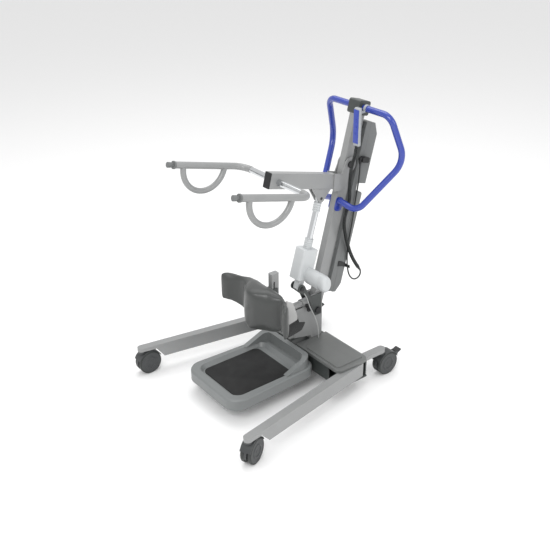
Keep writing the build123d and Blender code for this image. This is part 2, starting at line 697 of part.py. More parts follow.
with BuildPart() as back_cover:
    with BuildSketch(mast_side) as cover_face:
        with BuildLine():
            Polyline((BOX_BACK, COVER_LOW), (BOX_BACK, COVER_HIGH), (COVER_BACK, COVER_HIGH),
                     (COVER_BACK, COVER_LOW + 40), (COVER_BACK - 24, COVER_LOW), close=True)
        make_face()
    extrude(amount=BOX_HALF, both=True)
    fillet(back_cover.edges().filter_by(Axis.X).sort_by(Axis.Y)[-2:], 10)
    fillet(back_cover.faces().sort_by(Axis.Y)[-1].edges(), 4)
write(back_cover, "back_cover")

with BuildPart() as battery_pack:
    with BuildSketch(mast_side):
        with BuildLine():
            Polyline((BOX_BACK + SOFT_GAP, BATTERY_LOW), (BOX_BACK + SOFT_GAP, BATTERY_HIGH),
                     (BATTERY_BACK - 22, BATTERY_HIGH), (BATTERY_BACK, BATTERY_HIGH - 42),
                     (BATTERY_BACK, BATTERY_LOW), close=True)
        make_face()
    extrude(amount=BOX_HALF, both=True)
    fillet(battery_pack.edges().filter_by(Axis.X).sort_by(Axis.Y)[-3:], 6)
write(battery_pack, "battery_pack")

with BuildPart() as battery_clip:
    with BuildSketch(mast_side):
        with BuildLine():
            Polyline((82, BATTERY_HIGH - 5.7), (99, BATTERY_HIGH - 38.2), (105.2, BATTERY_HIGH - 35),
                     (88.2, BATTERY_HIGH - 2.5), close=True)
        make_face()
    extrude(amount=13, both=True)
write(battery_clip, "battery_clip")

with BuildPart() as cable_hook:
    with BuildSketch(frame_side.offset(BOX_HALF)):
        with BuildLine():
            Polyline((300, 452), (318, 446), (353, 420), (353, 408), (318, 424), (296, 430), close=True)
        make_face()
    extrude(amount=2.5)
    with BuildSketch(frame_side.offset(BOX_HALF + 2.5)):
        with Locations((351.5, 414)):
            Rectangle(3, 12)
    extrude(amount=9)
write(cable_hook, "cable_hook")

# ================================================================ knee support
with BuildPart() as knee_arm:
    with BuildSketch(Plane(origin=(0, KNEE_TUBE_BACK, KNEE_Z), x_dir=(1, 0, 0), z_dir=(0, -1, 0))):
        Circle(KNEE_TUBE_R)
    extrude(amount=KNEE_TUBE_BACK - KNEE_POST_BACK + 8)
    post_mid = (KNEE_POST_BACK + KNEE_POST_FRONT) / 2
    with BuildSketch(Plane.XY.offset(KNEE_Z - KNEE_TUBE_R - 2)):
        with Locations((0, post_mid)):
            RectangleRounded(2 * KNEE_POST_HALF, KNEE_POST_BACK - KNEE_POST_FRONT, 4)
    extrude(amount=KNEE_POST_TOP - KNEE_Z + KNEE_TUBE_R + 2)
    # slot that the pad's clamp bolt rides in
    with BuildSketch(x_plane(0, SLOT_Y, (SLOT_LOW + SLOT_HIGH) / 2)):
        SlotOverall(SLOT_HIGH - SLOT_LOW, 2 * SLOT_R, rotation=90)
    extrude(amount=KNEE_POST_HALF, both=True, mode=Mode.SUBTRACT)
write(knee_arm, "knee_arm")

with BuildPart() as knee_carriage:
    # fork round the post's front and sides
    fork_out = KNEE_POST_HALF + SOFT_GAP + CARRIAGE_T
    fork_front = KNEE_POST_FRONT - SOFT_GAP - CARRIAGE_T
    fork_back = KNEE_POST_BACK - 10
    with BuildSketch(Plane.XY.offset(CARRIAGE_LOW)):
        with Locations((0, (fork_front + fork_back) / 2)):
            Rectangle(2 * fork_out, fork_back - fork_front)
        with Locations((0, (KNEE_POST_FRONT - SOFT_GAP + fork_back) / 2)):
            Rectangle(2 * (KNEE_POST_HALF + SOFT_GAP), fork_back - KNEE_POST_FRONT + SOFT_GAP, mode=Mode.SUBTRACT)
    extrude(amount=CARRIAGE_HIGH - CARRIAGE_LOW)
    # plate that carries the pad
    with BuildSketch(Plane.XY.offset(CARRIAGE_LOW)):
        with Locations((0, fork_front - 3)):
            Rectangle(90, 6)
    extrude(amount=CARRIAGE_HIGH - CARRIAGE_LOW)
    # clamp bolt through the post's slot
    with BuildSketch(x_plane(0, SLOT_Y, (CARRIAGE_LOW + CARRIAGE_HIGH) / 2)):
        Circle(SLOT_R - SOFT_GAP)
    extrude(amount=fork_out + 3, both=True)
write(knee_carriage, "knee_carriage")

pad_back = fork_front - 6
with BuildPart() as knee_pad:
    with BuildSketch(Plane.XY.offset(PAD_LOW)) as pad_plan:
        with BuildLine():
            Spline((-PAD_WING, -127), (-108, -70), (-40, -116), (0, -135), (40, -116), (108, -70),
                   (PAD_WING, -127), tangents=[(0.75, 0.66), (0.75, -0.66)])
            Line((PAD_WING, -127), (PAD_WING + 8, -110))
            Spline((PAD_WING + 8, -110), (142, -62), (70, pad_back), tangents=[(-0.6, 0.8), (-1, 0)])
            Line((70, pad_back), (-70, pad_back))
            Spline((-70, pad_back), (-142, -62), (-PAD_WING - 8, -110), tangents=[(-1, 0), (-0.6, -0.8)])
            Line((-PAD_WING - 8, -110), (-PAD_WING, -127))
        make_face()
    extrude(amount=PAD_HIGH - PAD_LOW)
    # outline seen from the front: wings shorter at the bottom, rounded corners
    with BuildSketch(Plane.XZ.offset(-20)) as pad_front:
        with BuildLine():
            Polyline((-PAD_WING - 13, PAD_HIGH - 6), (-60, PAD_HIGH), (60, PAD_HIGH), (PAD_WING + 13, PAD_HIGH - 6),
                     (PAD_WING + 13, PAD_LOW + 40), (96, PAD_LOW), (-96, PAD_LOW), (-PAD_WING - 13, PAD_LOW + 40),
                     close=True)
        make_face()
        fillet(pad_front.vertices().group_by(Axis.X)[0] + pad_front.vertices().group_by(Axis.X)[-1], 30)
    extrude(amount=180, mode=Mode.INTERSECT)
write(knee_pad, "knee_pad")

with BuildPart() as strap_pad:
    with BuildSketch(Plane.YZ.offset(WEBBING_X + WEBBING_T)) as strap_face:
        with BuildLine():
            Polyline((-46, 430), (-16, 413), (3, 350), (7, 333), (-41, 321), (-49, 385), close=True)
        make_face()
        fillet(strap_face.vertices(), 6)
    extrude(amount=STRAP_PAD_T)
write(strap_pad, "strap_pad")

with BuildPart() as calf_strap:
    # cut ends hang down behind the pad
    with BuildSketch(Plane.YZ.offset(WEBBING_X)):
        with BuildLine():
            Polyline((-50, 329), (14, 342), (22, 312), (51, 303), (36, 272), (12, 265), (-46, 256), (-54, 295),
                     close=True)
        make_face()
    extrude(amount=WEBBING_T)
write(calf_strap, "calf_strap")

with BuildPart() as depth_knob:
    with BuildSketch(x_plane(KNEE_TUBE_R + 0.5, KNOB_Y, KNEE_Z)):
        Circle(4)
    extrude(amount=CHEEK_OUTER + 2 - KNEE_TUBE_R)
    with BuildSketch(x_plane(CHEEK_OUTER + 1, KNOB_Y, KNEE_Z)):
        Circle(9)
    extrude(amount=14)
    with BuildSketch(x_plane(CHEEK_OUTER + 4, KNOB_Y, KNEE_Z)) as wedge_face:
        with BuildLine():
            Polyline((-8, 6), (8, 6), (17, -20), (-5, -22), close=True)
        make_face()
    extrude(amount=11)
write(depth_knob, "depth_knob")

# ================================================================ boom
with BuildPart() as boom_tube:
    boom_mid = (BOOM_LOW + BOOM_HIGH) / 2
    boom_deep = BOOM_HIGH - BOOM_LOW
    with BuildSketch(boom_plane(0, BOOM_BACK, boom_mid)):
        RectangleRounded(2 * BOOM_HALF_W, boom_deep, 3)
        Rectangle(2 * (BOOM_HALF_W - BOOM_WALL), boom_deep - 2 * BOOM_WALL, mode=Mode.SUBTRACT)
    extrude(amount=BOOM_FRONT - BOOM_BACK)
    with BuildSketch(boom_side):
        with Locations((BAR_FWD, BAR_UP)):
            Circle(BAR_R)
    extrude(amount=BOOM_HALF_W + 1, both=True, mode=Mode.SUBTRACT)
write(boom_tube, "boom_tube")

with BuildPart() as boom_plates:
    # side plates that straddle the mast and take the pivot pin
    for side in (-1, 1):
        # boom_side faces -X, so its offset runs the other way
        with BuildSketch(boom_side.offset(side * BOOM_HALF_W)):
            with BuildLine():
                Polyline((26, 8), (35, -39), (73, -38), (58, -110), (16, -104), (-24, -16), (-20, 12), close=True)
            make_face()
            Circle(SIDE_PLATE_R)
            Circle(BOOM_PIN_R, mode=Mode.SUBTRACT)
        extrude(amount=side * SIDE_PLATE_T)
write(boom_plates, "boom_plates")

with BuildPart() as boom_pins:
    # pivot pin in the mast, with a black cap on each end
    with BuildSketch(boom_side):
        Circle(BOOM_PIN_R)
    extrude(amount=BOOM_HALF_W + SIDE_PLATE_T, both=True)
    for side in (-1, 1):
        with BuildSketch(boom_side.offset(side * (BOOM_HALF_W + SIDE_PLATE_T))):
            Circle(PIN_CAP_R)
        extrude(amount=side * (PIN_CAP_OUT - BOOM_HALF_W - SIDE_PLATE_T))
    # pin of the actuator's upper end
    with BuildSketch(boom_side):
        with Locations((LUG_FWD, LUG_UP)):
            Circle(ROD_PIN_R)
    extrude(amount=LUG_OUTER, both=True)
write(boom_pins, "boom_pins")

with BuildPart() as boom_lug:
    for side in (-1, 1):
        with BuildSketch(boom_side.offset(side * LUG_INNER)):
            with BuildLine():
                Polyline((165, BOOM_LOW), (70, BOOM_LOW), (LUG_FWD - 12, LUG_UP - 10), (LUG_FWD + 10, LUG_UP - 12),
                         close=True)
            make_face()
            with Locations((LUG_FWD, LUG_UP)):
                Circle(LUG_R)
                Circle(ROD_PIN_R, mode=Mode.SUBTRACT)
        extrude(amount=side * (LUG_OUTER - LUG_INNER))
write(boom_lug, "boom_lug")

with BuildPart() as boom_cap:
    with BuildSketch(boom_plane(0, BOOM_FRONT, boom_mid)):
        RectangleRounded(2 * BOOM_HALF_W, boom_deep, 3)
    extrude(amount=5)
    fillet(boom_cap.faces().sort_by(Axis.Y)[0].edges(), 1.5)
write(boom_cap, "boom_cap")

with BuildPart() as spreader_bar:
    with BuildSketch(boom_side):
        with Locations((BAR_FWD, BAR_UP)):
            Circle(BAR_R)
    extrude(amount=ARM_START, both=True)
write(spreader_bar, "spreader_bar")

for side in (-1, 1):
    arm_route = [boom_point(side * ARM_START, BAR_FWD, BAR_UP), boom_point(side * ARM_X, BAR_FWD, BAR_UP),
                 boom_point(side * ARM_X, ARM_END, BAR_UP)]
    grip_mid = (GRIP_BACK + GRIP_FRONT) / 2
    grip_route = [boom_point(side * ARM_X, GRIP_BACK, BAR_UP - 6), boom_point(side * ARM_X, grip_mid, GRIP_UP),
                  boom_point(side * ARM_X, GRIP_FRONT, BAR_UP - 6)]
    with BuildPart() as sling_arm:
        with BuildLine() as arm_line:
            FilletPolyline(*arm_route, radius=ARM_BEND)
        with BuildSketch(Plane(origin=arm_route[0], z_dir=(side, 0, 0))):
            Circle(ARM_R)
        sweep(path=arm_line.line)
        with BuildLine() as grip_line:
            ThreePointArc(*grip_route)
        with BuildSketch(Plane(origin=grip_route[0], z_dir=grip_line.line % 0)):
            Circle(GRIP_R)
        sweep(path=grip_line.line)
    write(sling_arm, f"sling_arm_{side_name(side)}")

with BuildPart() as sling_studs:
    for side in (-1, 1):
        for start, length, radius in ((ARM_END, 6, 15), (ARM_END + 6, 12, 7), (ARM_END + 18, 12, 10.5)):
            with BuildSketch(boom_plane(side * ARM_X, start, BAR_UP)):
                Circle(radius)
            extrude(amount=length)
write(sling_studs, "sling_studs")

# ================================================================ actuator
with BuildPart() as actuator_rod:
    with BuildSketch(act_plane(ROD_LOW)):
        Circle(ROD_R)
    extrude(amount=COLLAR_LOW - ROD_LOW)
write(actuator_rod, "actuator_rod")

with BuildPart() as rod_collar:
    with BuildSketch(act_plane(COLLAR_LOW)):
        Circle(COLLAR_R)
    extrude(amount=COLLAR_HIGH - COLLAR_LOW)
    # eye on the boom's pin
    with BuildSketch(act_side):
        with Locations((0, (COLLAR_HIGH - 1 + ACT_LENGTH) / 2)):
            Rectangle(20, ACT_LENGTH - COLLAR_HIGH + 1)
        with Locations((0, ACT_LENGTH)):
            Circle(13)
    extrude(amount=LUG_INNER - SIDE_GAP, both=True)
    with BuildSketch(act_side):
        with Locations((0, ACT_LENGTH)):
            Circle(ROD_PIN_R + RUNNING)
    extrude(amount=LUG_INNER, both=True, mode=Mode.SUBTRACT)
write(rod_collar, "rod_collar")

with BuildPart() as actuator_housing:
    with BuildSketch(act_plane(HOUSING_LOW)):
        RectangleRounded(2 * HOUSING_HALF_W, 2 * HOUSING_HALF_D, 12)
    extrude(amount=HOUSING_HIGH - HOUSING_LOW)
    fillet(actuator_housing.faces().sort_by(Axis((0, 0, 0), (0, ACT_SIN, ACT_COS)))[-1].edges(), 5)
    # eye at the lower pin
    with BuildSketch(act_side):
        with Locations((0, HOUSING_LOW / 2)):
            Rectangle(26, HOUSING_LOW)
        Circle(13)
    extrude(amount=14, both=True)
    with BuildSketch(act_plane(50)):
        Circle(ROD_R + RUNNING)
    extrude(amount=BOOT_HIGH, mode=Mode.SUBTRACT)
write(actuator_housing, "actuator_housing")

with BuildPart() as actuator_boot:
    with BuildSketch(act_plane(HOUSING_HIGH)):
        Circle(BOOT_R)
        Circle(ROD_R + RUNNING, mode=Mode.SUBTRACT)
    extrude(amount=BOOT_HIGH - HOUSING_HIGH)
write(actuator_boot, "actuator_boot")

with BuildPart() as actuator_motor:
    with BuildSketch(x_plane(HOUSING_HALF_W, MOTOR_Y, MOTOR_Z)):
        RectangleRounded(MOTOR_W, MOTOR_H, MOTOR_W / 2 - 1)
    extrude(amount=MOTOR_END - HOUSING_HALF_W)
    fillet(actuator_motor.faces().sort_by(Axis.X)[-1].edges(), 14)
write(actuator_motor, "actuator_motor")

# ================================================================ handset
handset_mid = (HANDSET_LEFT + HANDSET_RIGHT) / 2
with BuildPart() as handset_body:
    with BuildSketch(Plane.XY.offset(HANDSET_LOW)):
        with Locations((handset_mid, (HANDSET_FRONT + HANDSET_BACK) / 2)):
            RectangleRounded(HANDSET_RIGHT - HANDSET_LEFT, HANDSET_BACK - HANDSET_FRONT, 5)
    extrude(amount=HANDSET_HIGH - HANDSET_LOW)
    # hook over the handle's top bar
    hook_in = HANDLE_R + SOFT_GAP
    with BuildSketch(x_plane(handset_mid - 5, HANDLE_TOP_Y, HANDLE_TOP_Z)):
        Circle(hook_in + 3)
        Circle(hook_in, mode=Mode.SUBTRACT)
        with Locations((0, -30)):
            Rectangle(60, 60, mode=Mode.SUBTRACT)
        with Locations((-hook_in - 1.5, -5)):
            Rectangle(3, 12)
        with Locations(((HANDSET_BACK - 2 - HANDLE_TOP_Y - hook_in - 3) / 2, -8)):
            Rectangle(HANDLE_TOP_Y - hook_in - HANDSET_BACK - 1 + 2, 6)
    extrude(amount=10)
    for height in (0, 1, 2):
        with BuildSketch(Plane(origin=(handset_mid, HANDSET_FRONT, HANDSET_LOW + 50 + 26 * height),
                               x_dir=(1, 0, 0), z_dir=(0, -1, 0))):
            Circle(BUTTON_R + SOFT_GAP)
        extrude(amount=-5, mode=Mode.SUBTRACT)
write(handset_body, "handset_body")

for height in (0, 1, 2):
    with BuildPart() as handset_button:
        with BuildSketch(Plane(origin=(handset_mid, HANDSET_FRONT - BUTTON_OUT, HANDSET_LOW + 50 + 26 * height),
                               x_dir=(1, 0, 0), z_dir=(0, 1, 0))):
            Circle(BUTTON_R)
        extrude(amount=BUTTON_OUT + 5 - BUTTON_TRAVEL - SOFT_GAP)
    write(handset_button, f"handset_button_{height + 1}")

with BuildPart() as handset_plug:
    # elbow plug in the side of the control box, its lead leaving downward
    with BuildSketch(mast_side.offset(BOX_HALF)):
        with Locations((48, PLUG_Z)):
            Rectangle(14, 18)
    extrude(amount=3)
    with BuildSketch(mast_side.offset(BOX_HALF + 3)):
        with Locations((55, PLUG_Z)):
            RectangleRounded(36, 22, 6)
    extrude(amount=17)
    with BuildSketch(Plane(origin=(PLUG_X - 1, 387.5, 868), x_dir=(1, 0, 0), z_dir=(0, 0, -1))):
        Circle(5.5)
    extrude(amount=20)
    with BuildSketch(Plane(origin=(PLUG_X - 1, 382, 868), x_dir=(1, 0, 0), z_dir=(0, 1, 0))):
        Circle(5.5)
    extrude(amount=20)
write(handset_plug, "handset_plug")

# ================================================================ cords
curly_route = [(46, 357, HANDSET_LOW), (46, 357, 907), (46, 349.5, 882), (46, 337, 853), (46, 331.5, 808),
               (46, 331, 762), (46, 333, 718), (46, 325, 682), (46, 309, 650), (46, 307.5, 612), (46, 316, 570),
               (46, 330, 525), (46, 346, 482), (46, 372, 432), (46, 398, 396)]
tail_route = [(46, 398, 396), (45, 410.2, 380.1), (43.5, 407, 358), (41.5, 389, 347), (39.5, 368, 354),
              (37.5, 352, 376), (36, 343, 410), (35, 340, 452), (34.5, 342, 498), (34.5, 349, 545),
              (34.5, 359, 592), (34.5, 367, 640), (35, 373, 690), (36, 380, 738), (37.5, 386, 784),
              (38.5, 387.8, 820), (39, 387.5, 848)]
base_cable_route = [(CHEEK_OUTER, 124, 362), (37, 125, 356), (45, 128, 336), (47, 136, 308), (46.5, 150, 280),
                    (45, 165, 252), (43.5, 177, 222), (42, 186, 192), (41, 191, 164), (40.7, 192, 140)]

for label, route, diameter in (("handset_cord", curly_route, CURLY_D), ("handset_tail", tail_route, TAIL_D),
                               ("base_cable", base_cable_route, BASE_CABLE_D)):
    radii = cord_radii(route)
    with BuildPart() as cord:
        with BuildLine() as cord_line:
            FilletPolyline(*route, radius=radii)
        with BuildSketch(Plane(origin=route[0], z_dir=cord_line.line % 0)):
            Circle(diameter / 2)
        sweep(path=cord_line.line)
    length = cord_line.wires()[0].length
    expected = pi * diameter * diameter / 4 * length
    print(label, "length", round(length), "volume ratio", round(cord.part.volume / expected, 4),
          "radii", [round(value) for value in radii])
    write(cord, label)
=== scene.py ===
"""Looks of the sit to stand lift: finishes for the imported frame, and the soft, turned and coiled pieces."""

import json
import logging
from dataclasses import dataclass, field
from enum import Enum
from math import cos, pi, radians, sin

import bpy
from mathutils import Matrix, Vector


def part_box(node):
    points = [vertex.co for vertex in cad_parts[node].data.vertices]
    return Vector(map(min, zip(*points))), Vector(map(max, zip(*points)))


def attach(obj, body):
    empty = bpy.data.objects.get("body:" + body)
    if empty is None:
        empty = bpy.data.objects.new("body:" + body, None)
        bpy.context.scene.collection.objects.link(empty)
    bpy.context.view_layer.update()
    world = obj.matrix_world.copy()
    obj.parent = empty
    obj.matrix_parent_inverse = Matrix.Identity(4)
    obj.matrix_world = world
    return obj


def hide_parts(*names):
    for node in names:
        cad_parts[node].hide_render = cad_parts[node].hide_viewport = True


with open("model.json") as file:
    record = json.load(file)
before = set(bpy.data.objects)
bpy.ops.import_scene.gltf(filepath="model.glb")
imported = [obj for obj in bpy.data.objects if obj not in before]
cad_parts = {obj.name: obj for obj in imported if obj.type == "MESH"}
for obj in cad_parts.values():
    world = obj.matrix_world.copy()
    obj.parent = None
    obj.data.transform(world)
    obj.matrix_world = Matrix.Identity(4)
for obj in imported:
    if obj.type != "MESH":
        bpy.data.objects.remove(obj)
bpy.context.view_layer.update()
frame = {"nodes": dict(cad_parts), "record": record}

MM = 0.001
FOOTPRINT_MID_Y = 22.6

log = logging.getLogger("lift")

Settings = dict[str, object]
Point = tuple[float, float, float]


def place_mm(point: Point) -> Vector:
    """Turn a place drawn about the foot tray, in millimetres, into metres about the footprint's middle."""
    x, y, z = point
    return Vector((x, y - FOOTPRINT_MID_Y, z)) * MM


# ---------------------------------------------------------------- materials
def linear(code: str) -> tuple[float, float, float, float]:
    """Turn an sRGB hex colour into linear light.

    Args:
        code: Six hex digits, such as "8f8f8f".

    Returns:
        Linear red, green, blue and an alpha of 1.
    """
    channels = [int(code[place:place + 2], 16) / 255 for place in (0, 2, 4)]
    bright = [c / 12.92 if c <= 0.04045 else ((c + 0.055) / 1.055) ** 2.4 for c in channels]
    return (bright[0], bright[1], bright[2], 1.0)


def per_metre(size_mm: float) -> float:
    """Pattern scale, in repeats a metre, of a feature of that size in millimetres."""
    return 1000.0 / size_mm


def add(tree: bpy.types.NodeTree, kind: str, settings: Settings,
        **links: bpy.types.NodeSocket) -> bpy.types.Node:
    """Add a node with its settings and links.

    Args:
        tree: Node tree that takes the node.
        kind: Node type, such as "ShaderNodeBump".
        settings: Input values by socket name, or node properties by attribute name.
        links: Sockets that feed the node, by input name with spaces as underscores.

    Returns:
        The new node.
    """
    node = tree.nodes.new(kind)
    for name, value in settings.items():
        if name in node.inputs:
            node.inputs[name].default_value = value
        else:
            setattr(node, name, value)
    for name, socket in links.items():
        tree.links.new(socket, node.inputs[name.replace("_", " ")])
    return node


class Surface(Enum):
    """How a surface was made, which picks the fine pattern of its bump."""

    ORANGE_PEEL = "powder coat flowed out in the oven"
    MOULD_GRAIN = "spark eroded mould skin"
    POLISHED = "buffed and plated"
    HIDE_GRAIN = "embossed upholstery skin"
    WOVEN = "woven webbing"
    PIMPLED = "moulded rubber pimples"


@dataclass(frozen=True)
class Finish:
    """One real material with its colour, gloss and fine surface.

    grain_mm is the size of its fine pattern, and relief and relief_mm are the strength and depth of that
    pattern's bump. mottle and mottle_mm are the strength and size of its slow change of tone, and edge_mm
    rounds its arrises.
    """

    name: str
    colour: str
    roughness: float
    surface: Surface
    grain_mm: float = 1.0
    relief: float = 0.1
    relief_mm: float = 0.2
    metallic: float = 0.0
    ior: float = 1.5
    coat: float = 0.0
    sheen: float = 0.0
    mottle: float = 0.06
    mottle_mm: float = 60.0
    edge_mm: float = 0.8

    def material(self) -> bpy.types.Material:
        """Build the node material.

        Returns:
            The finished material, ready for a slot.
        """
        if self.name in bpy.data.materials:
            return bpy.data.materials[self.name]
        material = bpy.data.materials.new(self.name)
        material.use_nodes = True
        tree = material.node_tree
        tree.nodes.clear()
        place = add(tree, "ShaderNodeTexCoord", {})
        height = self._height(tree, place.outputs["Object"])
        # rounded arris that catches a highlight, as every painted or moulded edge does
        edge = add(tree, "ShaderNodeBevel", {"samples": 6, "Radius": self.edge_mm * MM})
        bump = add(tree, "ShaderNodeBump", {"Strength": self.relief, "Distance": self.relief_mm * MM},
                   Height=height, Normal=edge.outputs["Normal"])
        cloud = add(tree, "ShaderNodeTexNoise", {"Scale": per_metre(self.mottle_mm), "Detail": 4.0},
                    Vector=place.outputs["Object"])
        base = linear(self.colour)
        dark = tuple(c * (1 - self.mottle) for c in base[:3]) + (1.0,)
        light = tuple(min(1.0, c * (1 + self.mottle)) for c in base[:3]) + (1.0,)
        tint = add(tree, "ShaderNodeValToRGB", {}, Fac=cloud.outputs["Fac"])
        tint.color_ramp.elements[0].position = 0.3
        tint.color_ramp.elements[0].color = dark
        tint.color_ramp.elements[1].position = 0.7
        tint.color_ramp.elements[1].color = light
        rough = add(tree, "ShaderNodeMapRange",
                    {"From Min": 0.3, "From Max": 0.7, "To Min": self.roughness * 0.88,
                     "To Max": min(1.0, self.roughness * 1.12)},
                    Value=cloud.outputs["Fac"])
        shader = add(tree, "ShaderNodeBsdfPrincipled",
                     {"Metallic": self.metallic, "IOR": self.ior, "Coat Weight": self.coat,
                      "Coat Roughness": 0.08, "Sheen Weight": self.sheen, "Sheen Roughness": 0.5},
                     Base_Color=tint.outputs["Color"], Roughness=rough.outputs["Result"],
                     Normal=bump.outputs["Normal"])
        add(tree, "ShaderNodeOutputMaterial", {}, Surface=shader.outputs["BSDF"])
        return material

    def _height(self, tree: bpy.types.NodeTree, place: bpy.types.NodeSocket) -> bpy.types.NodeSocket:
        """Height pattern of the surface.

        Args:
            tree: Node tree that takes the pattern.
            place: Object coordinates.

        Returns:
            The socket that carries the height.
        """
        scale = per_metre(self.grain_mm)
        if self.surface is Surface.HIDE_GRAIN:
            cells = add(tree, "ShaderNodeTexVoronoi", {"feature": "DISTANCE_TO_EDGE", "Scale": scale},
                        Vector=place)
            skin = add(tree, "ShaderNodeMapRange", {"From Max": 0.35}, Value=cells.outputs["Distance"])
            return skin.outputs["Result"]
        if self.surface is Surface.PIMPLED:
            cells = add(tree, "ShaderNodeTexVoronoi", {"feature": "F1", "Scale": scale, "Randomness": 0.0},
                        Vector=place)
            pimple = add(tree, "ShaderNodeMapRange",
                         {"From Min": 0.2, "From Max": 0.45, "To Min": 1.0, "To Max": 0.0},
                         Value=cells.outputs["Distance"])
            return pimple.outputs["Result"]
        if self.surface is Surface.WOVEN:
            # a wave texture repeats 20 / (2 pi) times for each unit of scale
            yarn = {"Scale": scale * pi / 10}
            warp = add(tree, "ShaderNodeTexWave", {**yarn, "bands_direction": "Y"}, Vector=place)
            weft = add(tree, "ShaderNodeTexWave", {**yarn, "bands_direction": "Z"}, Vector=place)
            cross = add(tree, "ShaderNodeMath", {"operation": "MULTIPLY"}, Value=warp.outputs["Fac"])
            tree.links.new(weft.outputs["Fac"], cross.inputs[1])
            return cross.outputs["Value"]
        detail = {Surface.ORANGE_PEEL: 1.0, Surface.MOULD_GRAIN: 6.0}.get(self.surface, 3.0)
        noise = add(tree, "ShaderNodeTexNoise", {"Scale": scale, "Detail": detail, "Roughness": 0.6},
                    Vector=place)
        return noise.outputs["Fac"]


# polyester powder coat over steel tube: satin grey with a faint orange peel in the highlights
POWDER_SILVER = Finish("powder_silver", "8c8d8d", 0.36, Surface.ORANGE_PEEL, 2.2, 0.06, 0.06, coat=0.3,
                       mottle=0.03)
# the same powder in charcoal on welded parts, darkened partly as painted shade for the base beam's front face
# under the cover: duller, so the seams and folds read as one dark mass
POWDER_CHARCOAL_AND_SHADE = Finish("powder_charcoal_and_shade", "3a3e3d", 0.42, Surface.ORANGE_PEEL, 2.2, 0.12, 0.12, coat=0.15)
# gloss ultramarine powder on the bent handle: a narrow bright line follows each bend
POWDER_BLUE = Finish("powder_blue", "2c3f9c", 0.24, Surface.ORANGE_PEEL, 2.0, 0.06, 0.06, coat=0.5,
                     mottle=0.03)
# injection moulded ABS covers: satin, with a fine skin that softens reflections
ABS_GREY = Finish("abs_grey", "686a69", 0.34, Surface.MOULD_GRAIN, 0.9, 0.10, 0.08, coat=0.15)
# ABS of the control box and battery: the same grey with a coarser, duller skin
ABS_BOX = Finish("abs_box", "6e7070", 0.46, Surface.MOULD_GRAIN, 0.9, 0.14, 0.08)
# off-white ABS actuator case: nearly even, with soft shading over its rounds
ABS_WHITE = Finish("abs_white", "c4c7c8", 0.34, Surface.MOULD_GRAIN, 0.8, 0.08, 0.06, mottle=0.02, coat=0.1)
# pale ABS handset case: a light rim round the blue face
ABS_HANDSET = Finish("abs_handset", "a2a5a8", 0.42, Surface.MOULD_GRAIN, 0.7, 0.12, 0.06, mottle=0.03)
# blue ABS face and buttons: smoother than the case, so the face reads as a separate part
ABS_BUTTON = Finish("abs_button", "3347a4", 0.30, Surface.MOULD_GRAIN, 0.7, 0.06, 0.05, mottle=0.03)
# moulded polyethylene tray: waxy even grey, with broad soft highlights on its rims
POLYETHYLENE_TRAY = Finish("polyethylene_tray", "777a7a", 0.34, Surface.ORANGE_PEEL, 5.0, 0.03, 0.05,
                           mottle=0.0, edge_mm=0.0)
# glass filled nylon castor: dark and satin, with a little glint on the hub rings
NYLON_CASTOR = Finish("nylon_castor", "3c3e3f", 0.45, Surface.MOULD_GRAIN, 0.8, 0.16, 0.08)
# cast polyurethane tread: a darker, duller band round the wheel
POLYURETHANE_TREAD = Finish("polyurethane_tread", "2e3130", 0.52, Surface.MOULD_GRAIN, 1.0, 0.15, 0.08)
# grey nylon studs: match the arms but stay softer at their edges
NYLON_GREY = Finish("nylon_grey", "6c6e6e", 0.38, Surface.MOULD_GRAIN, 0.8, 0.12, 0.08)
# black nylon caps, knobs and pedals: near black with a soft sheen
NYLON_BLACK = Finish("nylon_black", "17181a", 0.40, Surface.MOULD_GRAIN, 0.8, 0.16, 0.08)
# moulded rubber mat with pimples at 4 mm pitch: matt black with an even fine texture
RUBBER_MAT = Finish("rubber_mat", "08090a", 0.62, Surface.PIMPLED, 4.0, 0.6, 0.5, mottle=0.15, edge_mm=0.5)
# chrome plate on a steel bar: mirrors the white surroundings with dark edges
CHROME = Finish("chrome_plate", "d4d6d8", 0.10, Surface.POLISHED, 8.0, 0.02, 0.05, metallic=1.0, mottle=0.02)
# zinc plate on pins and axles: a blurred grey metal glint
ZINC = Finish("zinc_plate", "b4b4b0", 0.32, Surface.POLISHED, 1.0, 0.1, 0.05, metallic=1.0, mottle=0.08)
# embossed upholstery vinyl over foam: a soft highlight along the ridge and the rims
VINYL_SKIN = Finish("vinyl_skin", "3b3d3c", 0.40, Surface.HIDE_GRAIN, 1.6, 0.16, 0.12, coat=0.12, sheen=0.1,
                    mottle=0.05, edge_mm=0.2)
# woven nylon over the strap's padding, drawn at 1.2 mm a thread to show: pale and matt
NYLON_PAD_CLOTH = Finish("nylon_pad_cloth", "a8a8a7", 0.75, Surface.WOVEN, 1.2, 0.35, 0.25, sheen=0.35,
                         edge_mm=0.3)
# woven polyester webbing, drawn at 1.8 mm a thread to show: black, with ribs but no gloss
WEBBING = Finish("webbing", "0f1011", 0.78, Surface.WOVEN, 1.8, 0.6, 0.4, sheen=0.25, edge_mm=0.3)
# extruded PVC sheath of the handset lead: black with a thin highlight along each turn
CORD_SHEATH = Finish("cord_sheath", "232625", 0.36, Surface.MOULD_GRAIN, 0.8, 0.05, 0.04, edge_mm=0.1)
# extruded PVC sheath of the thin cable to the base: pale and even
CABLE_PALE = Finish("cable_pale", "b2b4b3", 0.42, Surface.MOULD_GRAIN, 0.8, 0.05, 0.04, edge_mm=0.1)


# ---------------------------------------------------------------- modelling
def deselect() -> None:
    """Leave nothing selected, so an operator acts on the new primitive alone."""
    if bpy.context.object and bpy.context.object.mode != "OBJECT":
        bpy.ops.object.mode_set(mode="OBJECT")
    bpy.ops.object.select_all(action="DESELECT")


def pick(piece: bpy.types.Object) -> None:
    """Select one object and make it active."""
    deselect()
    piece.select_set(True)
    bpy.context.view_layer.objects.active = piece


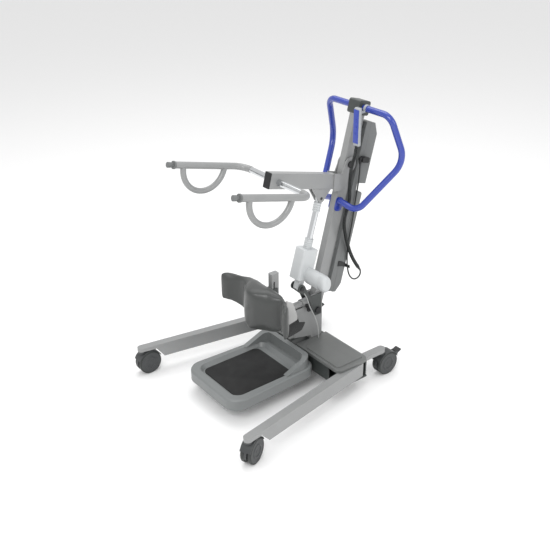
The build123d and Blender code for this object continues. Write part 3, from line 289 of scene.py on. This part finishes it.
def settle(piece: bpy.types.Object, turn: Matrix, centre: Point) -> bpy.types.Object:
    """Turn and move a piece, then put its place in its mesh.

    Args:
        piece: The mesh object, modelled at the origin.
        turn: Rotation in the row frame.
        centre: Where its origin goes.

    Returns:
        The same piece.
    """
    piece.matrix_world = Matrix.Translation(Vector(centre)) @ turn.to_4x4()
    pick(piece)
    bpy.ops.object.transform_apply(location=True, rotation=True, scale=True)
    return piece


def apply_modifier(piece: bpy.types.Object, kind: str, **settings: object) -> None:
    """Add a modifier and apply it.

    Args:
        piece: The mesh object.
        kind: Modifier type, such as "BEVEL".
        settings: Modifier properties.
    """
    pick(piece)
    modifier = piece.modifiers.new(kind.lower(), kind)
    for name, value in settings.items():
        setattr(modifier, name, value)
    bpy.ops.object.modifier_apply(modifier=modifier.name)


def smooth(piece: bpy.types.Object, angle: float = 35.0) -> bpy.types.Object:
    """Shade smooth up to an angle in degrees, and return the piece."""
    pick(piece)
    bpy.ops.object.shade_smooth_by_angle(angle=radians(angle))
    return piece


def dress(piece: bpy.types.Object, finish: Finish) -> bpy.types.Object:
    """Give every slot of a piece one finish, and return the piece."""
    material = finish.material()
    if not piece.material_slots:
        piece.data.materials.append(material)
    for slot in piece.material_slots:
        slot.material = material
    return piece


def turned(name: str, profile: list[tuple[float, float]], sides: int = 64) -> bpy.types.Object:
    """Turn a solid on Z by drawing a disc out ring by ring.

    Args:
        name: Name of the piece.
        profile: Radius and height of each ring in millimetres, from one end to the other.
        sides: Number of sides.

    Returns:
        The closed solid at the origin.
    """
    deselect()
    radius, height = profile[0]
    bpy.ops.mesh.primitive_circle_add(vertices=sides, radius=radius * MM, fill_type="NGON",
                                      location=(0, 0, height * MM))
    piece = bpy.context.object
    piece.name = name
    bpy.ops.object.transform_apply(location=True)
    bpy.ops.object.mode_set(mode="EDIT")
    bpy.ops.mesh.select_all(action="SELECT")
    for next_radius, next_height in profile[1:]:
        bpy.ops.mesh.extrude_region_move(
            TRANSFORM_OT_translate={"value": (0, 0, (next_height - height) * MM)})
        bpy.ops.transform.resize(value=(next_radius / radius, next_radius / radius, 1),
                                 center_override=(0, 0, next_height * MM))
        radius, height = next_radius, next_height
    bpy.ops.mesh.select_all(action="SELECT")
    bpy.ops.mesh.normals_make_consistent(inside=False)
    bpy.ops.object.mode_set(mode="OBJECT")
    return piece


def block(name: str, size: Point, centre: Point, round_mm: float, steps: int = 4) -> bpy.types.Object:
    """Block with every edge rounded.

    Args:
        name: Name of the piece.
        size: Length along X, Y and Z in metres.
        centre: Its middle in metres.
        round_mm: Edge radius in millimetres.
        steps: Segments of each rounded edge.

    Returns:
        The block.
    """
    deselect()
    bpy.ops.mesh.primitive_cube_add(size=1, location=centre)
    piece = bpy.context.object
    piece.name = name
    piece.scale = size
    bpy.ops.object.transform_apply(location=True, rotation=True, scale=True)
    apply_modifier(piece, "BEVEL", width=round_mm * MM, segments=steps, limit_method="ANGLE")
    return smooth(piece)


def join(pieces: list[bpy.types.Object], name: str) -> bpy.types.Object:
    """Join meshes into one piece.

    Args:
        pieces: The meshes, the first of which keeps its slots first.
        name: Name of the joined piece.

    Returns:
        The joined piece.
    """
    deselect()
    for piece in pieces:
        piece.select_set(True)
    bpy.context.view_layer.objects.active = pieces[0]
    bpy.ops.object.join()
    pieces[0].name = name
    return pieces[0]


def copy_of_node(node: str, name: str) -> bpy.types.Object:
    """Copy a CAD node's shape as one merged mesh.

    Args:
        node: Name of the CAD node.
        name: Name of the copy.

    Returns:
        The copy, at the origin.
    """
    piece = bpy.data.objects.new(name, frame["nodes"][node].data.copy())
    bpy.context.scene.collection.objects.link(piece)
    piece.data.materials.clear()
    pick(piece)
    bpy.ops.object.mode_set(mode="EDIT")
    bpy.ops.mesh.select_all(action="SELECT")
    bpy.ops.mesh.remove_doubles(threshold=0.00002)
    bpy.ops.object.mode_set(mode="OBJECT")
    return piece


def middle(node: str) -> Vector:
    """Middle of a CAD node's box, in metres."""
    low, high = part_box(node)
    return (Vector(low) + Vector(high)) / 2


def joint(name: str) -> dict:
    """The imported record's joint of that name."""
    return next(entry for entry in frame["record"]["behaviour"]["joints"] if entry["name"] == name)


def facing(axis: Vector) -> Matrix:
    """Rotation that turns +Z to an axis."""
    return Vector((0, 0, 1)).rotation_difference(axis).to_matrix()


# ---------------------------------------------------------------- sub-assemblies
@dataclass
class FrameWork:
    """Painted steel, plated bars and moulded covers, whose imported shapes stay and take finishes."""

    finishes: dict[str, Finish] = field(default_factory=lambda: {
        # the base beam's charcoal partly paints the shade on its front face under the cover
        "base_beam": POWDER_CHARCOAL_AND_SHADE, "leg_pivot_pins": ZINC,
        "base_cover_left": ABS_GREY, "base_cover_right": ABS_GREY,
        "rear_arm_left": POWDER_SILVER, "rear_arm_right": POWDER_SILVER,
        "leg_left": POWDER_SILVER, "leg_right": POWDER_SILVER,
        "lower_post": POWDER_SILVER, "knee_bracket": POWDER_SILVER, "actuator_bracket": POWDER_CHARCOAL_AND_SHADE,
        "frame_bolts": NYLON_BLACK, "mast_tube": POWDER_SILVER, "push_handle": POWDER_BLUE,
        "handle_saddle": POWDER_CHARCOAL_AND_SHADE, "control_box": ABS_BOX, "back_cover": ABS_BOX,
        "battery_pack": ABS_BOX, "battery_clip": NYLON_BLACK, "cable_hook": NYLON_BLACK,
        "boom_tube": POWDER_SILVER, "boom_plates": POWDER_SILVER, "boom_lug": POWDER_SILVER,
        "boom_pins": NYLON_BLACK, "boom_cap": NYLON_BLACK, "spreader_bar": CHROME,
        "sling_arm_left": POWDER_SILVER, "sling_arm_right": POWDER_SILVER, "sling_studs": NYLON_GREY,
        "knee_arm": POWDER_SILVER, "knee_carriage": POWDER_CHARCOAL_AND_SHADE, "depth_knob": NYLON_BLACK,
        "foot_tray": POLYETHYLENE_TRAY, "tray_mat": RUBBER_MAT,
        "actuator_rod": CHROME, "actuator_housing": ABS_WHITE,
        "handset_button_1": ABS_BUTTON, "handset_button_2": ABS_BUTTON, "handset_button_3": ABS_BUTTON,
        "handset_plug": NYLON_BLACK,
        "brake_pedal_rear_left": NYLON_BLACK, "brake_pedal_rear_right": NYLON_BLACK,
    })

    def build(self) -> None:
        """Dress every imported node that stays."""
        for node, finish in self.finishes.items():
            dress(frame["nodes"][node], finish)
        log.info("frame: %d nodes dressed", len(self.finishes))


@dataclass
class Castors:
    """Twin wheels turned with a tread and a raised hub ring, and their hoods."""

    names: tuple[str, ...] = ("front_right", "front_left", "rear_right", "rear_left")
    inner_face: float = 7.0     # from the castor's middle to a wheel's inner face
    tread_inner: float = 44.5   # radius where the tread meets the web
    axle_r: float = 5.0
    axle_half: float = 8.0
    profile: tuple[tuple[float, float], ...] = (
        (40, 0), (46, 0), (48.6, 0.8), (50, 2.6), (50, 12.2), (49, 14.0), (47, 15.0), (44, 15.2), (43, 14.4),
        (33, 13.8), (28, 14.2), (26.8, 15.6), (25.6, 16.2), (21.8, 16.2), (20.8, 15.4), (20, 14.0), (8, 13.6),
        (7, 14.4), (2, 14.8))

    def build(self) -> None:
        """Build all four castors."""
        for name in self.names:
            self.wheel_pair(name)
            dress(frame["nodes"][f"castor_hood_{name}"], NYLON_CASTOR)
            log.info("castor %s", name)

    def wheel_pair(self, name: str) -> None:
        """Both wheels and the axle of one castor.

        Args:
            name: Which castor.
        """
        axis = Vector(joint(f"{name}_roll")["axis"])
        hub = middle(f"castor_wheels_{name}")
        wheels = []
        for face in (1, -1):
            wheel = turned(f"wheel_{name}_{face}", list(self.profile), 96)
            self.paint(wheel)
            centre = hub + axis * face * self.inner_face * MM
            wheels.append(smooth(settle(wheel, facing(axis * face), tuple(centre)), 25))
        axle = turned(f"axle_{name}", [(self.axle_r, -self.axle_half), (self.axle_r, self.axle_half)], 24)
        dress(axle, ZINC)
        wheels.append(settle(axle, facing(axis), tuple(hub)))
        pair = join(wheels, f"wheels_{name}")
        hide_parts(f"castor_wheels_{name}")
        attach(pair, f"wheels_{name}")

    def paint(self, wheel: bpy.types.Object) -> None:
        """Tread material on the rim, nylon on the web."""
        wheel.data.materials.append(NYLON_CASTOR.material())
        wheel.data.materials.append(POLYURETHANE_TREAD.material())
        for face in wheel.data.polygons:
            reach = Vector((face.center.x, face.center.y)).length
            face.material_index = 1 if reach > self.tread_inner * MM else 0


@dataclass(frozen=True)
class Sleeve:
    """A ribbed sleeve on the actuator's line, in millimetres from the lower pin."""

    node: str
    body: str
    start: float
    length: float
    radius: float
    ribs: int


@dataclass
class Actuator:
    """Ribbed boot and collar, the rod's eye and neck, and the motor with its end cap."""

    lower_pin: Point = (0.0, 114.0, 385.0)
    boot: Sleeve = Sleeve("actuator_boot", "actuator", start=165.0, length=40.0, radius=17.0, ribs=5)
    collar: Sleeve = Sleeve("rod_collar", "rod", start=315.0, length=37.0, radius=15.5, ribs=4)
    neck_size: Point = (0.016, 0.020, 0.022)
    neck_drop: float = 0.010

    def build(self) -> None:
        """Build the turned and moulded pieces of the actuator."""
        upper_pin = Vector(joint("rod_pivot")["pos_m"])
        along = (upper_pin - place_mm(self.lower_pin)).normalized()
        self.settled(self.ribbed(self.boot, along), self.boot)
        collar = self.ribbed(self.collar, along)
        self.settled(join([collar, *self.eye(upper_pin, along)], "rod_collar_sleeve"), self.collar)
        self.motor()

    def ribbed(self, sleeve: Sleeve, along: Vector) -> bpy.types.Object:
        """A ribbed sleeve in place of a plain one.

        Args:
            sleeve: Its sizes and place.
            along: Direction of the actuator, upward.

        Returns:
            The sleeve, in place.
        """
        radius, length, ribs = sleeve.radius, sleeve.length, sleeve.ribs
        profile = [(radius - 1.5, 0.0)]
        step = length / ribs
        for rib in range(ribs):
            start = rib * step
            profile += [(radius, start + 0.12 * step), (radius, start + 0.62 * step),
                        (radius - 2.2, start + 0.72 * step), (radius - 2.2, start + 0.92 * step)]
        profile += [(radius - 0.5, length - 0.6), (radius - 2.5, length)]
        piece = turned(f"{sleeve.node}_sleeve", profile, 64)
        dress(piece, ABS_WHITE)
        place = place_mm(self.lower_pin) + along * sleeve.start * MM
        return smooth(settle(piece, facing(along), tuple(place)), 40)

    def eye(self, upper_pin: Vector, along: Vector) -> list[bpy.types.Object]:
        """The rod's eye round the upper pin, and its neck.

        Args:
            upper_pin: Middle of the pin in metres.
            along: Direction of the actuator, upward.

        Returns:
            The eye and the neck.
        """
        eye = turned("rod_eye", [(11, -8), (13, -7), (13, 7), (11, 8)], 48)
        dress(eye, ABS_WHITE)
        settle(eye, facing(Vector((1, 0, 0))), tuple(upper_pin))
        neck = block("rod_neck", self.neck_size, (0, 0, 0), 2.0)
        dress(neck, ABS_WHITE)
        settle(neck, facing(along), tuple(upper_pin - along * self.neck_drop))
        return [eye, neck]

    @staticmethod
    def settled(piece: bpy.types.Object, sleeve: Sleeve) -> None:
        """Put a finished sleeve in its node's stead."""
        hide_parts(sleeve.node)
        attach(piece, sleeve.body)
        log.info("%s ribbed", sleeve.node)

    def motor(self) -> None:
        """Motor can with a seam and a domed end cap."""
        low, high = (Vector(corner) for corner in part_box("actuator_motor"))
        size = high - low
        profile = [(1.0, 0.0), (1.0, 0.02), (1.0, 0.66), (0.975, 0.67), (0.975, 0.685), (1.0, 0.695),
                   (1.0, 0.84), (0.97, 0.90), (0.90, 0.95), (0.76, 0.985), (0.5, 1.0)]
        radius = size.z / 2 / MM
        can = turned("motor_can", [(r * radius, h * size.x / MM) for r, h in profile], 96)
        can.scale = (1.0, size.y / size.z, 1.0)
        pick(can)
        bpy.ops.object.transform_apply(scale=True)
        dress(can, ABS_WHITE)
        settle(can, Matrix(((0, 0, 1), (0, 1, 0), (-1, 0, 0))),
               (low.x, (low.y + high.y) / 2, (low.z + high.z) / 2))
        smooth(can, 35)
        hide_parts("actuator_motor")
        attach(can, "actuator")
        log.info("motor")


@dataclass
class KneeSupport:
    """Foam knee pad and the calf strap with its padded sleeve."""

    voxel: float = 0.005
    swell_limit: float = 0.006
    pressure: float = 4.0
    last_frame: int = 15
    relax: int = 30             # smoothing passes that take the creases out after the cloth run

    def build(self) -> None:
        """Build the pad and both strap pieces."""
        self.pad()
        self.strap_piece("strap_pad", NYLON_PAD_CLOTH, 0.006)
        self.strap_piece("calf_strap", WEBBING, 0.006)

    def pad(self) -> None:
        """Foam pad: rounded all over, swollen by a short cloth run."""
        pad = copy_of_node("knee_pad", "knee_pad_foam")
        apply_modifier(pad, "REMESH", mode="VOXEL", voxel_size=self.voxel)
        apply_modifier(pad, "SMOOTH", factor=0.5, iterations=24)
        self.swell(pad)
        apply_modifier(pad, "SMOOTH", factor=0.5, iterations=self.relax)
        apply_modifier(pad, "SUBSURF", levels=1, render_levels=1)
        dress(pad, VINYL_SKIN)
        smooth(pad, 60)
        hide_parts("knee_pad")
        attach(pad, "knee_rest")
        log.info("knee pad")

    def swell(self, pad: bpy.types.Object) -> None:
        """Press the skin outward with a short cloth run, capped.

        Args:
            pad: The remeshed pad.
        """
        before = [vertex.co.copy() for vertex in pad.data.vertices]
        pick(pad)
        cloth = pad.modifiers.new("cloth", "CLOTH")
        cloth.settings.effector_weights.gravity = 0
        cloth.settings.use_pressure = True
        cloth.settings.uniform_pressure_force = self.pressure
        cloth.settings.quality = 4
        for step in range(1, self.last_frame + 1):
            bpy.context.scene.frame_set(step)
        bpy.ops.object.modifier_apply(modifier=cloth.name)
        bpy.context.scene.frame_set(1)
        for vertex, start in zip(pad.data.vertices, before):
            shift = vertex.co - start
            if shift.length > self.swell_limit:
                vertex.co = start + shift.normalized() * self.swell_limit

    def strap_piece(self, node: str, finish: Finish, bow: float) -> None:
        """One flat strap piece, rounded at its edges and bowed outward.

        Args:
            node: CAD node it stands for.
            finish: Its cloth.
            bow: How far its middle stands out in metres.
        """
        piece = copy_of_node(node, f"{node}_cloth")
        apply_modifier(piece, "REMESH", mode="VOXEL", voxel_size=0.0015 if node == "strap_pad" else 0.0012)
        apply_modifier(piece, "SMOOTH", factor=0.5, iterations=10 if node == "strap_pad" else 3)
        low, high = (Vector(corner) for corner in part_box(node))
        for vertex in piece.data.vertices:
            part = (vertex.co.z - low.z) / (high.z - low.z)
            vertex.co.x += bow * (1 - (2 * part - 1) ** 2) - bow / 2
        dress(piece, finish)
        smooth(piece, 50)
        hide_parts(node)
        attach(piece, "knee_rest")
        log.info("%s", node)


@dataclass
class Handset:
    """Moulded handset with its blue face, and the hook over the handle's bar."""

    low_corner: Point = (30.0, 350.0, 927.0)
    high_corner: Point = (62.0, 367.0, 1075.0)

    def build(self) -> None:
        """Build the case, the face and the hook."""
        left, front, bottom = place_mm(self.low_corner)
        right, back, top = place_mm(self.high_corner)
        case = block("handset_case", (right - left, back - front - 0.002, top - bottom),
                     ((left + right) / 2, (front + back) / 2 + 0.001, (bottom + top) / 2), 6.0, 6)
        dress(case, ABS_HANDSET)
        face = block("handset_face", (right - left - 0.005, 0.0025, top - bottom - 0.018),
                     ((left + right) / 2, front + 0.0012, (bottom + top) / 2 + 0.003), 1.2, 3)
        dress(face, ABS_BUTTON)
        body = join([case, face, self.hook()], "handset_shell")
        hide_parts("handset_body")
        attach(body, "handset")
        log.info("handset")

    def hook(self) -> bpy.types.Object:
        """Hook over the bar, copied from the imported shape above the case."""
        piece = copy_of_node("handset_body", "handset_hook")
        pick(piece)
        bpy.ops.object.mode_set(mode="EDIT")
        bpy.ops.mesh.select_all(action="SELECT")
        back = place_mm(self.high_corner).y - 0.5 * MM
        bpy.ops.mesh.bisect(plane_co=(0, back, 0), plane_no=(0, 1, 0), clear_inner=True, use_fill=True)
        bpy.ops.object.mode_set(mode="OBJECT")
        return dress(piece, ABS_HANDSET)


@dataclass
class Cords:
    """Curly handset lead, its plain tail to the plug, and the thin cable to the base."""

    curly_route: tuple[Point, ...] = (
        (46, 357, 927), (46, 357, 907), (46, 349.5, 882), (46, 337, 853), (46, 331.5, 808), (46, 331, 762),
        (46, 333, 718), (46, 325, 682), (46, 309, 650), (46, 307.5, 612), (46, 316, 570), (46, 330, 525),
        (46, 346, 482), (46, 372, 432), (46, 398, 396))
    tail_route: tuple[Point, ...] = (
        (46, 398, 396), (45, 410.2, 380.1), (43.5, 407, 358), (41.5, 389, 347), (39.5, 368, 354),
        (37.5, 352, 376), (36, 343, 410), (35, 340, 452), (34.5, 342, 498), (34.5, 349, 545),
        (34.5, 359, 592), (34.5, 367, 640), (35, 373, 690), (36, 380, 738), (37.5, 386, 784),
        (38.5, 387.8, 820), (39, 387.5, 848))
    base_route: tuple[Point, ...] = (
        (26, 124, 362), (37, 125, 356), (45, 128, 336), (47, 136, 308), (46.5, 150, 280), (45, 165, 252),
        (43.5, 177, 222), (42, 186, 192), (41, 191, 164), (40.7, 192, 140))
    coil_radius: float = 5.4
    lead_d: float = 4.2
    tail_d: float = 6.0
    base_cable_d: float = 4.0
    pitch: float = 5.0
    steps: int = 14

    def build(self) -> None:
        """Build the three leads."""
        self.curly()
        tail = self.plain("handset_tail_lead", self.tail_route, self.tail_d, CORD_SHEATH)
        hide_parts("handset_tail")
        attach(tail, "frame")
        line = self.tube(tail)
        cable = self.plain("base_cable_lead", self.base_route, self.base_cable_d, CABLE_PALE)
        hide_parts("base_cable")
        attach(cable, "frame")
        line = self.tube(cable)
        log.info("cords done")

    @staticmethod
    def spline_object(name: str, points: list[Vector], thick: float, finish: Finish) -> bpy.types.Object:
        """A round lead on one NURBS line.

        Args:
            name: Name of the piece.
            points: Control points in metres.
            thick: Diameter in millimetres.
            finish: Its sheath.

        Returns:
            The curve object.
        """
        curve = bpy.data.curves.new(name, "CURVE")
        curve.dimensions = "3D"
        spline = curve.splines.new("NURBS")
        spline.points.add(len(points) - 1)
        for place, point in zip(spline.points, points):
            place.co = (*point, 1.0)
        spline.order_u = 3
        spline.use_endpoint_u = True
        spline.resolution_u = 8
        curve.bevel_depth = thick * MM / 2
        curve.bevel_resolution = 4
        curve.use_fill_caps = True
        piece = bpy.data.objects.new(name, curve)
        bpy.context.scene.collection.objects.link(piece)
        return dress(piece, finish)

    def plain(self, name: str, route: tuple[Point, ...], thick: float, finish: Finish) -> bpy.types.Object:
        """A plain lead along a route in millimetres, and return its curve."""
        return self.spline_object(name, [place_mm(point) for point in route], thick, finish)

    @staticmethod
    def line_of(piece: bpy.types.Object) -> list[Vector]:
        """Points along a lead's own line.

        Args:
            piece: A curve object.

        Returns:
            Points in metres.
        """
        thick = piece.data.bevel_depth
        piece.data.bevel_depth = 0
        mesh = bpy.data.meshes.new_from_object(piece)
        piece.data.bevel_depth = thick
        points = [vertex.co.copy() for vertex in mesh.vertices]
        bpy.data.meshes.remove(mesh)
        return points

    def tube(self, piece: bpy.types.Object) -> list[Vector]:
        """Make a lead a mesh tube.

        Args:
            piece: The lead's curve object.

        Returns:
            The points that the tube follows.
        """
        line = self.line_of(piece)
        pick(piece)
        bpy.ops.object.convert(target="MESH")
        smooth(piece, 60)
        return line

    @staticmethod
    def run_of(points: list[Vector]) -> float:
        """Length of a line of points in metres."""
        return sum((after - before).length for before, after in zip(points, points[1:]))

    def curly(self) -> None:
        """The coiled lead, wound round the route's own line."""
        guide = self.plain("curly_guide", self.curly_route, 1.0, CORD_SHEATH)
        line = self.line_of(guide)
        bpy.data.objects.remove(guide)
        spacing = self.pitch * MM / self.steps
        walked = self.evenly(line, spacing)
        points = []
        side = Vector((1, 0, 0))
        total = len(walked)
        for place, point in enumerate(walked):
            ahead = walked[min(place + 1, total - 1)] - walked[max(place - 1, 0)]
            ahead.normalize()
            across = (side - ahead * side.dot(ahead)).normalized()
            other = ahead.cross(across)
            swing = min(1.0, place / (2 * self.steps), (total - 1 - place) / (2 * self.steps))
            angle = 2 * pi * place / self.steps
            points.append(point + (across * cos(angle) + other * sin(angle)) * self.coil_radius * MM * swing)
        curly = self.spline_object("handset_curly_lead", points, self.lead_d, CORD_SHEATH)
        curly.data.splines[0].resolution_u = 2
        curly.data.bevel_resolution = 2
        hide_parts("handset_cord")
        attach(curly, "frame")
        relief = self.relief()
        line = self.tube(curly)

    @staticmethod
    def evenly(line: list[Vector], spacing: float) -> list[Vector]:
        """Points at an even spacing along a line.

        Args:
            line: Points of the line.
            spacing: Distance between points in metres.

        Returns:
            The even points, both ends among them.
        """
        points = [line[0].copy()]
        left = spacing
        for before, after in zip(line, line[1:]):
            run = after - before
            length = run.length
            walked = 0.0
            while length - walked >= left:
                walked += left
                points.append(before + run * (walked / length))
                left = spacing
            left -= length - walked
        return points

    def relief(self) -> list[bpy.types.Object]:
        """Tapered sleeves at both ends of the coiled part.

        Returns:
            The two sleeves.
        """
        sleeves = []
        for name, (start, toward) in (("handset_relief", self.curly_route[:2]),
                                      ("tail_relief", self.tail_route[:2])):
            along = (Vector(toward) - Vector(start)).normalized()
            sleeve = turned(name, [(5.0, -3), (5.4, 0), (5.2, 3), (4.2, 9), (3.6, 15), (3.3, 20)], 32)
            dress(sleeve, NYLON_BLACK)
            shift = 3.0 if name == "handset_relief" else -3.0
            smooth(settle(sleeve, facing(along), tuple(place_mm(start) + along * shift * MM)), 40)
            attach(sleeve, "frame")
            sleeves.append(sleeve)
        return sleeves


@dataclass
class Studio:
    """Pale floor, soft light and the camera."""

    camera_place: Point = (2286.0, -1764.0, 1975.0)
    target: Point = (0.0, -100.0, 500.0)
    roll: float = -1.22
    lens: float = 55.3
    shift: tuple[float, float] = (0.0378, 0.0031)

    def build(self) -> None:
        """Build the studio."""
        self.floor()
        self.lights()
        self.camera()

    def floor(self) -> None:
        """A large pale floor."""
        deselect()
        bpy.ops.mesh.primitive_plane_add(size=60, location=(0, 0, 0))
        floor = bpy.context.object
        floor.name = "studio_floor"
        dress(floor, Finish("studio_white", "fbfbfb", 0.9, Surface.MOULD_GRAIN, 40.0, 0.0, 0.1, mottle=0.0))

    def lights(self) -> None:
        """White surroundings and three large soft boxes."""
        world = bpy.data.worlds.new("studio_world")
        world.use_nodes = True
        world.node_tree.nodes["Background"].inputs["Color"].default_value = (1, 1, 1, 1)
        world.node_tree.nodes["Background"].inputs["Strength"].default_value = 0.8
        bpy.context.scene.world = world
        for name, place, size, power in (("key", (1.6, -2.6, 3.2), 1.8, 60.0),
                                         ("fill", (3.4, 1.2, 2.2), 2.2, 30.0),
                                         ("top", (-1.0, 0.6, 3.6), 2.4, 45.0)):
            lamp = bpy.data.lights.new(name, "AREA")
            lamp.size = size
            lamp.energy = power
            source = bpy.data.objects.new(name, lamp)
            source.location = place
            source.rotation_euler = (Vector((0, 0, 0.5)) - Vector(place)).to_track_quat("-Z", "Y").to_euler()
            bpy.context.scene.collection.objects.link(source)

    def camera(self) -> None:
        """The camera, level with a slight roll."""
        data = bpy.data.cameras.new("camera")
        data.lens = self.lens
        data.sensor_width = 36
        data.shift_x, data.shift_y = self.shift
        camera = bpy.data.objects.new("camera", data)
        stand = place_mm(self.camera_place)
        look = (place_mm(self.target) - stand).to_track_quat("-Z", "Y")
        camera.matrix_world = (Matrix.Translation(stand) @ look.to_matrix().to_4x4()
                               @ Matrix.Rotation(radians(self.roll), 4, "Z"))
        bpy.context.scene.collection.objects.link(camera)
        bpy.context.scene.camera = camera
        bpy.context.scene.view_settings.view_transform = "Standard"


def main() -> None:
    """Build every sub-assembly in order."""
    logging.basicConfig(level=logging.INFO, format="%(name)s: %(message)s")
    for assembly in (FrameWork(), Castors(), Actuator(), KneeSupport(), Handset(), Cords(), Studio()):
        assembly.build()
        log.info("built %s", type(assembly).__name__)


if __name__ == "__main__":
    main()
